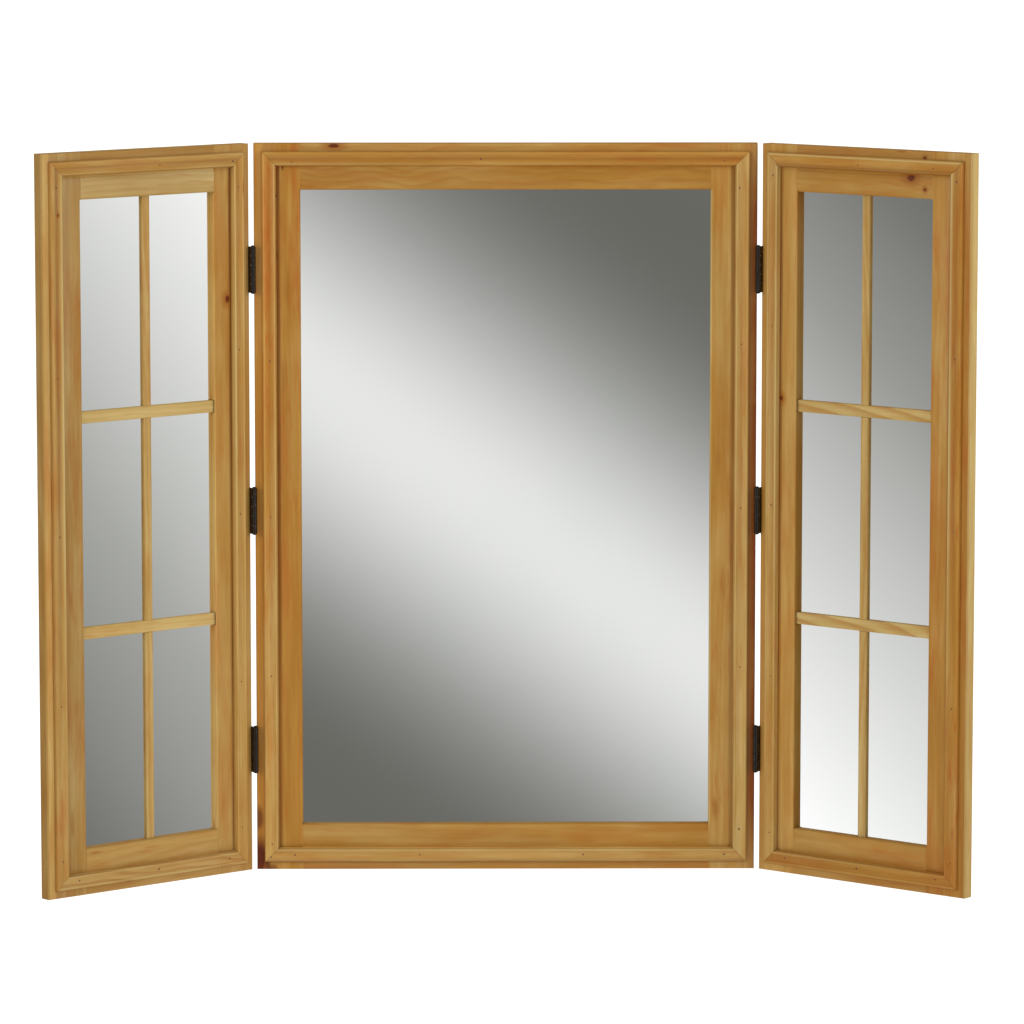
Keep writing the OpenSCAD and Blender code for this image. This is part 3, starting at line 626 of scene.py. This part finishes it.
# %% The wood list
WOOD_WORDS = ("stile", "rail", "moulding", "bar")
LEVEL_WORDS = ("top", "bottom", "upper", "lower")
# Of these values, band, foot, inner, hollow, groove, shade, crest, lift and the sight's tone set each
# piece's painted light and shade, some together with stain.
BOARDS = {
    "centre_left_stile": {
        "sap": 0.0, "tone": 0.82, "red": 0.6, "band": 0.3, "groove": 0.6, "wave": 0.014,
        "rim": (0.0, 1.34), "fleck": 0.3, "fall": (0.0, 0.03, 0.6),
        "streaks": [(0.012, -0.2560, 0.0110, 2.3, 0.95), (0.054, -0.2580, 0.0058, 2.4, 0.7),
            (0.002, -0.2440, 0.0060, 0.7, 0.55), (0.644, -0.2365, 0.001, 6.0, 0.75),
            (0.735, -0.2300, 0.0016, 2.4, 0.75)],
        "smears": [(0.520, -0.2290, 0.0040, 5.0, 0.35), (0.610, -0.2250, 0.0035, 7.0, 0.35)],
    },
    "centre_right_stile": {
        "sap": 0.3, "tone": 0.84, "red": 0.35, "band": 1.0, "band_ends": 0.4, "groove": 0.35,
        "sight": (0.0468, 0.7, 1.08), "fleck": 0.35,
        "smears": [(0.064, 0.2195, 0.0035, 4.0, 0.6), (0.300, 0.2260, 0.0030, 7.0, 0.4),
            (0.430, 0.2200, 0.0030, 6.0, 0.3)],
    },
    "centre_top_rail": {
        "sap": 0.05, "tone": 0.75, "red": 0.4, "figure": 0.3, "spacing": 0.009, "wave": 0.03,
        "rim": (0.3, 1.14), "band": 0.0, "groove": 0.0, "lift": 0.3,
        "knots": [(-0.177, 0.7575, 0.0029, 2.5)],
    },
    "centre_bottom_rail": {
        "sap": 0.2, "tone": 0.81, "figure": 0.25, "spacing": 0.009, "wave": 0.02, "band": 0.2,
        "groove": 0.0, "lift": 0.3, "rim": (0.0, 1.05),
    },
    "centre_left_moulding": {
        "sap": 0.3, "tone": 0.97, "crest": (0.25, 0.5), "hollow": 0.35, "red": 0.6, "fleck": 0.5,
        "fall": (0.5, 0.0, 0.8),
    },
    "centre_right_moulding": {"sap": 0.45, "tone": 0.94, "crest": (0.25, 0.5)},
    "centre_top_moulding": {
        "sap": 0.0, "tone": 0.84, "red": 0.5, "crest": (0.125, 0.25), "hollow": 0.35, "inner": 0.0,
        "foot": 0.0, "lift": 0.4,
    },
    "centre_bottom_moulding": {
        "sap": 0.4, "tone": 0.88, "hollow": 0.0, "inner": 0.0, "foot": 0.0, "lift": 0.4,
        "crest": (0.25, 0.5), "shade": (0.0, 0.45),
    },
    "left_outer_stile": {
        "sap": 0.45, "edge": (0.3, 0.56), "tone": 0.74, "band": 0.0, "foot": 0.3, "groove": 0.0,
        "rim": (0.05, 1.3), "red": 0.5, "lift": 0.2,
        "smears": [(0.075, -0.2300, 0.0030, 5.0, 0.45), (0.045, -0.2345, 0.0022, 4.0, 0.35),
            (0.300, -0.2290, 0.0025, 6.0, 0.3)],
    },
    "left_hinge_stile": {
        "sap": 0.35, "tone": 0.86, "groove": 0.5, "sight": (0.0441, 0.3, 1.3),
        "knots": [(0.601, -0.0288, 0.0042, 1.2)],
        "smears": [(0.540, -0.0300, 0.0028, 12.0, 0.3)],
    },
    "left_top_rail": {
        "sap": 0.9, "tone": 0.84, "red": 0.1, "rim": (-0.8, 0.9), "groove": 0.0, "lift": 0.25,
    },
    "left_bottom_rail": {
        "sap": 0.45, "tone": 0.85, "figure": 0.15, "groove": 0.0, "lift": 0.25,
        "smears": [(-0.2020, 0.0425, 0.0020, 5.0, 0.6), (-0.1300, 0.0400, 0.0015, 8.0, 0.3)],
    },
    "left_outer_moulding": {
        "sap": 0.4, "tone": 0.85, "crest": (0.0, 1.0), "foot": 0.25, "inner": 0.0, "hollow": 0.45,
        "red": 0.5,
        "knots": [(0.698, -0.2425, 0.0011, 1.8)],
    },
    "left_hinge_moulding": {
        "sap": 0.4, "tone": 0.94, "crest": (0.375, 0.75),
        "smears": [(0.715, -0.0105, 0.0014, 7.0, 0.8)],
    },
    "left_top_moulding": {"sap": 0.3, "tone": 0.88, "hollow": 0.3},
    "left_bottom_moulding": {
        "sap": 0.6, "tone": 0.87, "red": 0.3, "figure": 0.5, "spacing": 0.0045, "lean": 0.09,
        "hollow": 0.0, "foot": 0.0, "wave": 0.012, "crest": (0.25, 0.5),
    },
    "right_outer_stile": {
        "sap": 0.1, "edge": (1.0, 0.85), "tone": 0.83, "red": 0.6, "rim": (-0.2, 0.96),
        "band": 0.15, "foot": 0.35, "groove": 0.3, "fleck": 0.35, "fall": (-0.3, -0.08, 0.0),
    },
    "right_hinge_stile": {
        "sap": 0.3, "tone": 0.92, "groove": 0.5, "sight": (0.0441, -0.2, 0.7),
        "knots": [(0.4975, 0.0262, 0.0034, 1.2)],
    },
    "right_top_rail": {
        "sap": 0.25, "tone": 0.82, "lift": 0.25,
        "knots": [(0.1865, 0.7325, 0.0042, 1.5), (0.2033, 0.7535, 0.0021, 1.0),
            (0.2037, 0.7215, 0.0022, 1.0)],
        "smears": [(0.1744, 0.7585, 0.0013, 6.0, 0.7)],
    },
    "right_bottom_rail": {"sap": 0.2, "tone": 0.83, "red": 0.4, "groove": 0.0, "lift": 0.25},
    "right_outer_moulding": {
        "sap": 0.0, "tone": 0.83, "red": 0.5, "foot": 0.3, "fleck": 0.8, "crest": (0.0, 0.9),
        "smears": [(0.066, 0.2466, 0.0016, 4.0, 0.8), (0.560, 0.2425, 0.0016, 9.0, 0.6),
            (0.420, 0.2430, 0.0015, 12.0, 0.5)],
    },
    "right_hinge_moulding": {"sap": 0.45, "tone": 0.91, "crest": (0.375, 0.75)},
    "right_top_moulding": {
        "sap": 0.2, "hollow": 0.0, "inner": 0.0, "crest": (0.8, 0.0), "shade": (0.4, 0.0),
        "tone": 0.88,
    },
    "right_bottom_moulding": {
        "sap": 0.0, "hollow": 0.1, "inner": 0.0, "foot": 0.0, "red": 0.4, "fleck": 0.3,
        "tone": 0.81,
    },
    "left_upright_bar": {"sap": 0.8, "tone": 0.89, "figure": 0.3},
    "right_upright_bar": {"sap": 0.85, "tone": 0.86, "figure": 0.3},
    "left_upper_bar": {"sap": 1.0, "tone": 0.95, "red": 0.1},
    "left_lower_bar": {"sap": 1.0, "tone": 0.95, "red": 0.1},
    "right_upper_bar": {
        "sap": 1.1, "tone": 0.9, "red": 0.2, "figure": 0.5, "spacing": 0.014, "lean": 0.22,
    },
    "right_lower_bar": {
        "sap": 1.1, "tone": 0.9, "red": 0.2, "figure": 0.5, "spacing": 0.014, "lean": 0.22,
    },
}

wood = {}
chance = random.Random(5)
for node in nodes:
    if not any(node.split("_")[-1].startswith(word) for word in WOOD_WORDS):
        continue
    panel = node.split("_")[0]
    upright = not any(word in node for word in LEVEL_WORDS)
    seed = chance.uniform(0, 90)
    pith = (chance.uniform(-0.05, 0.05), chance.uniform(0.03, 0.1))
    material = pine(node + "_pine", panel, upright, seed, pith, BOARDS[node], node.endswith("moulding"))
    wood[node] = smooth_copy(node, node + "_wood", material, PANEL_BODY[panel])
print("pieces of wood:", len(wood))

# %% [markdown]
# ## Silvered glass
#
# A mirror is a sheet of glass with silver behind it. What reaches the eye is almost only the
# silver, so a full glass-and-silver stack would cost noise for no gain. One metallic shader,
# barely rough and a touch grey-green, gives the same picture. A faint haze makes it rougher in
# patches.

# %% The mirrors


def mirror_glass(name):
    """Silver behind glass, as one metallic shader."""
    material, tree = new_material(name)
    here = tree.add("ShaderNodeTexCoord", out="Object")
    haze = tree.noise(here, 5.0, 3.0, 0.6, 2.0)
    colour = tree.mix(haze.ramp(0.35, 0.75), srgb(243, 244, 243), srgb(240, 242, 240))
    shade(tree, Base_Color=colour, Metallic=1.0, Roughness=haze.ramp(0.4, 0.8, 0.012, 0.03))
    return material


def dress(node, material):
    """Gives a CAD node a new finish and leaves its shape alone."""
    mesh = nodes[node].data
    mesh.materials.clear()
    mesh.materials.append(material)


silver = mirror_glass("silvered_glass")
for node in nodes:
    if node.endswith("_mirror"):
        dress(node, silver)

# %% [markdown]
# ## Black iron, bright steel and hardboard
#
# The hinges are stamped iron with a black lacquer that has rubbed thin on the knuckles. The
# hanger plates and the glazing points at the back are zinc plated. The backing boards are
# hardboard: brown pressed fibre with a smooth, slightly waxy face.

# %% Metals and board


def black_iron(name):
    """Lacquered iron, worn to a brown sheen in specks."""
    material, tree = new_material(name)
    here = tree.add("ShaderNodeTexCoord", out="Object")
    wear = tree.noise(here, 260.0, 4.0, 0.65, 1.0)
    stain = tree.noise(here, 60.0, 3.0, 0.6, 4.0)
    colour = tree.mix(stain.ramp(0.35, 0.7), srgb(30, 22, 16), srgb(50, 38, 29))
    colour = tree.mix(wear.ramp(0.6, 0.72) * 0.6, colour, srgb(150, 132, 112))
    relief = tree.add("ShaderNodeBump", None, {"Strength": 0.1, "Distance": 0.0002, "Height": wear},
                      out="Normal")
    shade(tree, Base_Color=colour, Metallic=0.8, Roughness=wear.ramp(0.3, 0.7, 0.3, 0.2), Normal=relief,
          Coat_Weight=stain.ramp(0.3, 0.6, 0.9, 0.4), Coat_Roughness=0.12)
    return material


def zinc_steel(name):
    """Zinc plate with its crystal spangle."""
    material, tree = new_material(name)
    here = tree.add("ShaderNodeTexCoord", out="Object")
    bloom = tree.noise(here, 180.0, 4.0, 0.6, 1.0)
    spangle = tree.add("ShaderNodeTexVoronoi", {"feature": "F1"}, {"Vector": here, "Scale": 420.0})
    colour = tree.mix(bloom.ramp(0.3, 0.7), srgb(196, 198, 200), srgb(168, 171, 174))
    shade(tree, Base_Color=colour, Metallic=1.0, Roughness=0.3 + spangle.ramp(0.1, 0.7) * 0.15 + bloom * 0.1)
    return material


def hardboard(name):
    """Pressed fibre, mottled and slightly waxy."""
    material, tree = new_material(name)
    here = tree.add("ShaderNodeTexCoord", out="Object")
    fibre = tree.noise(here, 900.0, 4.0, 0.7, 1.0)
    patch = tree.noise(here, 18.0, 4.0, 0.6, 3.0)
    colour = tree.mix(patch.ramp(0.3, 0.7), srgb(128, 88, 56), srgb(108, 72, 44))
    colour = tree.mix(fibre.ramp(0.5, 0.75) * 0.5, colour, srgb(168, 126, 86))
    relief = tree.add("ShaderNodeBump", None, {"Strength": 0.25, "Distance": 0.0002, "Height": fibre},
                      out="Normal")
    shade(tree, Base_Color=colour, Roughness=0.5 + (patch - 0.5) * 0.2, Normal=relief)
    return material


iron, zinc, board = black_iron("black_iron"), zinc_steel("zinc_steel"), hardboard("hardboard")
for node in nodes:
    if node.endswith("_backing"):
        dress(node, board)
    elif node.endswith("_points") or node.startswith("hanger"):
        dress(node, zinc)
    elif node.endswith("_screws"):
        dress(node, iron)

for node in nodes:
    if node.endswith("_leaf") or node.endswith("_pins"):
        body = body_of(nodes[node])
        body = body if isinstance(body, str) else body[0]
        smooth_copy(node, node + "_iron", iron, body, sharp=30)
print("metals and board done")

# %% [markdown]
# ## Nails by Geometry Nodes
#
# The mouldings are held by fine brads, set just under the surface and filled. Each one shows
# as a brown dot, about 2 mm across. They repeat, so Geometry Nodes place them: a carrier mesh
# has one vertex for each nail, with the way the surface faces stored beside it. The tree puts
# a shallow disc on every vertex, turns it to face out, and varies its size a little.

# %% The tree that sets the nails
NAIL = {"Radius": 0.0011, "Rise": 0.00012, "Seed": 4}
NAIL_SIDES, NAIL_TAPER, NAIL_SIZES = 14, 0.7, (0.75, 1.15)


def nail_tree():
    """Geometry Nodes that put a shallow disc on every point, with named inputs."""
    group = bpy.data.node_groups.new("brads", "GeometryNodeTree")
    face = group.interface
    face.new_socket("Geometry", in_out="INPUT", socket_type="NodeSocketGeometry")
    for name, kind in (("Radius", "NodeSocketFloat"), ("Rise", "NodeSocketFloat"),
                       ("Seed", "NodeSocketInt"), ("Finish", "NodeSocketMaterial")):
        socket = face.new_socket(name, in_out="INPUT", socket_type=kind)
        if name in NAIL:
            socket.default_value = NAIL[name]
    face.new_socket("Geometry", in_out="OUTPUT", socket_type="NodeSocketGeometry")
    tree = Tree(group)
    places = tree.add("NodeGroupInput")
    radius, rise, seed, finish = (tree.other(places, i) for i in (1, 2, 3, 4))
    disc = tree.add("GeometryNodeMeshCone", {"fill_type": "NGON"},
                    {"Vertices": NAIL_SIDES, "Radius Top": radius * NAIL_TAPER, "Radius Bottom": radius,
                     "Depth": rise})
    facing = tree.add("GeometryNodeInputNamedAttribute", {"data_type": "FLOAT_VECTOR"}, {"Name": "facing"})
    turn = tree.add("FunctionNodeAlignEulerToVector", {"axis": "Z"}, {"Vector": facing})
    size = tree.add("FunctionNodeRandomValue", {"data_type": "FLOAT"},
                    {2: NAIL_SIZES[0], 3: NAIL_SIZES[1], "Seed": seed}, out=1)
    nails = tree.add("GeometryNodeInstanceOnPoints", None,
                     {"Points": places, "Instance": disc, "Rotation": turn, "Scale": size})
    solid = tree.add("GeometryNodeRealizeInstances", None, {0: nails})
    done = tree.add("GeometryNodeSetMaterial", None, {"Geometry": solid, "Material": finish})
    tree.add("NodeGroupOutput", None, {0: done})
    return group


def filler(name):
    """The brown filler over a nail's head."""
    material, tree = new_material(name)
    here = tree.add("ShaderNodeTexCoord", out="Object")
    grime = tree.noise(here, 1500.0, 3.0, 0.6, 1.0)
    colour = tree.mix(grime.ramp(0.3, 0.7), srgb(112, 66, 30), srgb(82, 44, 20))
    shade(tree, Base_Color=colour, Roughness=0.6 + grime * 0.1)
    return material


print("nail:", NAIL)

# %% Where the nails go, as x and z in each panel's own coordinates
NAILS = {
    "centre": [
        (-0.2372, 0.706), (-0.2205, 0.741), (-0.0254, 0.744), (0.2256, 0.742), (0.2412, 0.714),
        (-0.2440, 0.027), (-0.2455, 0.0135), (-0.2205, 0.0155), (0.2440, 0.0425), (0.2286, 0.0157),
        (-0.2440, 0.535), (-0.2440, 0.372), (-0.2440, 0.205), (0.2440, 0.552), (0.2440, 0.381),
        (0.2440, 0.214), (-0.0900, 0.0157), (0.0810, 0.0157),
    ],
    "left": [
        (-0.2440, 0.726), (-0.1157, 0.743), (-0.0232, 0.743), (-0.2440, 0.533), (-0.2440, 0.372),
        (-0.2440, 0.198), (-0.2440, 0.038), (-0.2240, 0.0162), (-0.1240, 0.0162), (-0.0330, 0.0162),
        (-0.0165, 0.716), (-0.0165, 0.548), (-0.0165, 0.377), (-0.0165, 0.201), (-0.0165, 0.047),
    ],
    "right": [
        (0.0165, 0.7278), (0.2155, 0.743), (0.2440, 0.731), (0.0165, 0.5718), (0.0165, 0.386),
        (0.0165, 0.206), (0.0165, 0.041), (0.0370, 0.0162), (0.1280, 0.0162), (0.2260, 0.0162),
        (0.2440, 0.552), (0.2440, 0.377), (0.2440, 0.195), (0.2440, 0.035), (0.1230, 0.743),
    ],
}


# %% Set the nails
# A ray starts this far in front of the panels and looks this far back for a moulding.
RAY_START, RAY_LENGTH = -0.1, 0.3


def set_nails(panel, places, group, finish):
    """Drops each place onto the mouldings, runs the tree and keeps its result as a plain mesh."""
    form = bmesh.new()
    for node, strip in wood.items():
        if node.startswith(panel) and node.endswith("moulding"):
            form.from_mesh(strip.data)
    surface = BVHTree.FromBMesh(form)
    form.free()
    to_object = panel_matrix(panel)
    inwards = to_object.to_3x3() @ Vector((0, 1, 0))
    points, normals = [], []
    for x, z in places:
        hit, normal, _, _ = surface.ray_cast(to_object @ Vector((x, RAY_START, z)), inwards, RAY_LENGTH)
        if hit is None:
            print("no moulding under", panel, x, z)
            continue
        points.append(hit)
        normals.append(normal)
    mesh = bpy.data.meshes.new(panel + "_brads")
    mesh.from_pydata(points, [], [])
    facing = mesh.attributes.new("facing", "FLOAT_VECTOR", "POINT")
    facing.data.foreach_set("vector", [c for normal in normals for c in normal])
    carrier = bpy.data.objects.new(panel + "_brads_carrier", mesh)
    bpy.context.scene.collection.objects.link(carrier)
    modifier = carrier.modifiers.new("brads", "NODES")
    modifier.node_group = group
    wanted = {**NAIL, "Finish": finish}
    for item in group.interface.items_tree:
        if item.item_type == "SOCKET" and item.in_out == "INPUT" and item.name in wanted:
            modifier[item.identifier] = wanted[item.name]
    carrier.update_tag()
    graph = bpy.context.evaluated_depsgraph_get()
    result = bpy.data.meshes.new_from_object(carrier.evaluated_get(graph), preserve_all_data_layers=True,
                                             depsgraph=graph)
    bpy.data.objects.remove(carrier)
    result.name = panel + "_brads"
    piece = bpy.data.objects.new(panel + "_brads", result)
    bpy.context.scene.collection.objects.link(piece)
    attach(piece, PANEL_BODY[panel])
    print(piece.name, len(points), "nails,", len(result.polygons), "faces")


finish = filler("brad_filler")
group = nail_tree()
for panel, places in NAILS.items():
    set_nails(panel, places, group, finish)

# %% [markdown]
# ## The room
#
# The picture shows the mirror on pure white, with a soft light at each side: upright
# mouldings have dark feet, level ones hardly any, and the right shutter's face turns just away
# from the lamp on its own side. Three things make that: a pale floor without an end, a white
# sky that is brighter overhead, and two soft boxes. The mirrors need something to show, too.
# A real studio hangs grey and white cloth behind the camera. Here the sky itself is that
# cloth, but only for glossy rays: soft bands of grey, one set in front and one at each side.

# %% Floor and lamps
FLOOR_REACH = 60.0
LAMP_REACH, LAMP_HEIGHT, LAMP_SIZE, LAMP_AIM = 4.04, 1.7, 1.3, (0, 0, 0.4)
# Each lamp's name, its turn in degrees to the right of straight ahead, and its power in watts.
LAMPS = (("left_box", -45, 52), ("right_box", 56, 60))


def make_floor():
    """A pale floor that glows a little, so that its far side is as white as the sky."""
    material, tree = new_material("pale_floor")
    shade(tree, Base_Color=srgb(150, 150, 150), Roughness=0.9, Emission_Color=(1, 1, 1, 1),
          Emission_Strength=0.95)
    mesh = bpy.data.meshes.new("floor")
    corners = [(x * FLOOR_REACH, y * FLOOR_REACH, 0) for x, y in ((-1, -1), (1, -1), (1, 1), (-1, 1))]
    mesh.from_pydata(corners, [], [(0, 1, 2, 3)])
    mesh.materials.append(material)
    floor = bpy.data.objects.new("floor", mesh)
    bpy.context.scene.collection.objects.link(floor)
    floor.visible_glossy = False


def make_lamp(name, azimuth, power):
    """A round soft box that looks at the mirror's middle."""
    light = bpy.data.lights.new(name, "AREA")
    light.shape, light.size, light.energy = "DISK", LAMP_SIZE, power
    lamp = bpy.data.objects.new(name, light)
    turn = math.radians(azimuth)
    place = (LAMP_REACH * math.sin(turn), -LAMP_REACH * math.cos(turn), LAMP_HEIGHT)
    lamp.location = place
    lamp.rotation_euler = (Vector(LAMP_AIM) - Vector(place)).to_track_quat("-Z", "Y").to_euler()
    bpy.context.scene.collection.objects.link(lamp)


make_floor()
for lamp_name, azimuth, power in LAMPS:
    make_lamp(lamp_name, azimuth, power)
print("floor and lamps set")

# %% The grey cloths that the mirrors see
# Bands of grey as (place, level) pairs, with the place from -1 to 1. The front cloth hangs
# aslant: its place is so much across and so much up, for each step ahead. The side cloths'
# place is the height, plus a slope times how far back the ray goes.
FRONT_CLOTH = [(-1.0, 180), (-0.6, 215), (-0.36, 150), (-0.2, 103), (-0.04, 103), (0.02, 118),
               (0.12, 190), (0.3, 226), (0.55, 160), (1.0, 120)]
FRONT_ACROSS, FRONT_UP, LEAST_AHEAD = 0.588, 0.809, 0.12
# One bright fold lies across the front cloth's dark part.
FOLD_PLACE, FOLD_REACH, FOLD_LEVEL = -0.102, 0.065, 231
RIGHT_CLOTH = [(-1.0, 200), (-0.55, 226), (-0.32, 105), (-0.2, 112), (-0.14, 169), (-0.085, 225),
               (-0.06, 243), (0.02, 243), (0.3, 180), (0.7, 130), (1.0, 150)]
RIGHT_SLOPE, RIGHT_SHIFT = 1.4, 0.2597
LEFT_CLOTH = [(-1.0, 140), (-0.6, 180), (-0.3, 252), (-0.195, 253), (-0.145, 208), (-0.1, 152),
              (-0.065, 115), (-0.03, 108), (0.15, 170), (0.5, 232), (1.0, 170)]
LEFT_SLOPE, LEFT_SHIFT = 1.1, 0.274
# How far to the side a ray points where the front cloth gives way to a side cloth.
SIDE_STARTS, SIDE_FULL = 0.45, 0.8
SILVER, YELLOW = 0.9, 0.033


def grey(level):
    """A grey as the mirrors show it: the darker it is, the more it leans to yellow."""
    yellow = YELLOW * (255 - level)
    return tuple(channel / SILVER for channel in srgb(level, level, level - yellow)[:3]) + (1.0,)


def bands(tree, where, levels):
    """Soft grey bands along one number that runs from -1 to 1."""
    stops = [((place + 1) / 2, grey(level)) for place, level in levels]
    return tree.add("ShaderNodeValToRGB", {"stops": stops}, {0: (where + 1) / 2})


print("bands of cloth:", len(FRONT_CLOTH), len(RIGHT_CLOTH), len(LEFT_CLOTH))

# %% The sky
WHITE, LOW_SKY, HIGH_SKY = (1.0, 1.0, 1.0, 1.0), (0.42, 0.42, 0.42, 1.0), (0.9, 0.9, 0.9, 1.0)


def make_sky():
    """White to the camera, brighter overhead for soft light, and cloth for glossy rays."""
    world = bpy.data.worlds.new("studio")
    bpy.context.scene.world = world
    world.use_nodes = True
    tree = Tree(world.node_tree)
    way = tree.add("ShaderNodeTexCoord", out="Generated")
    x = tree.add("ShaderNodeSeparateXYZ", None, {0: way})
    y, z = tree.other(x, 1), tree.other(x, 2)
    slant = (x * FRONT_ACROSS + z * FRONT_UP) / (-y).math("MAXIMUM", LEAST_AHEAD)
    front = bands(tree, slant, FRONT_CLOTH)
    front = tree.mix(near(slant, FOLD_PLACE, FOLD_REACH) ** 2, front, grey(FOLD_LEVEL))
    right = bands(tree, z + (y + RIGHT_SHIFT) * RIGHT_SLOPE, RIGHT_CLOTH)
    left = bands(tree, z - (y + LEFT_SHIFT) * LEFT_SLOPE, LEFT_CLOTH)
    cloth = tree.mix(x.ramp(SIDE_STARTS, SIDE_FULL), front, right)
    cloth = tree.mix((-x).ramp(SIDE_STARTS, SIDE_FULL), cloth, left)
    to_camera = tree.add("ShaderNodeLightPath", out="Is Camera Ray")
    glossy = tree.other(to_camera, "Is Glossy Ray")
    sky = tree.mix(z.ramp(0.0, 0.9), LOW_SKY, HIGH_SKY)
    sky = tree.mix(to_camera, sky, WHITE)
    sky = tree.mix(glossy, sky, cloth)
    shader = tree.add("ShaderNodeBackground", None, {"Color": sky, "Strength": 1.0})
    tree.add("ShaderNodeOutputWorld", None, {"Surface": shader})


make_sky()
print("sky set")

# %% [markdown]
# ## The camera
#
# The picture was taken from almost 6 m away with a long lens, slightly above the mirror and
# a touch to its left. Both were found by fitting the corners of the panels.

# %% Camera
FOCAL_MM, SENSOR_MM, FAR_CLIP = 201.7, 36.0, 300.0
CAMERA_PLACE, CAMERA_AIM = (-0.0417, -5.917, 1.1486), (0.0066, -0.007, 0.3769)
lens = bpy.data.cameras.new("camera")
lens.lens, lens.sensor_width, lens.clip_end = FOCAL_MM, SENSOR_MM, FAR_CLIP
camera = bpy.data.objects.new("camera", lens)
camera.location = CAMERA_PLACE
aim = Vector(CAMERA_AIM)
camera.rotation_euler = (aim - camera.location).to_track_quat("-Z", "Y").to_euler()
bpy.context.scene.collection.objects.link(camera)
bpy.context.scene.camera = camera
bpy.context.scene.view_settings.view_transform = "Standard"
bpy.context.scene.view_settings.look = "None"
print("camera to aim:", round((aim - camera.location).length, 3), "m")
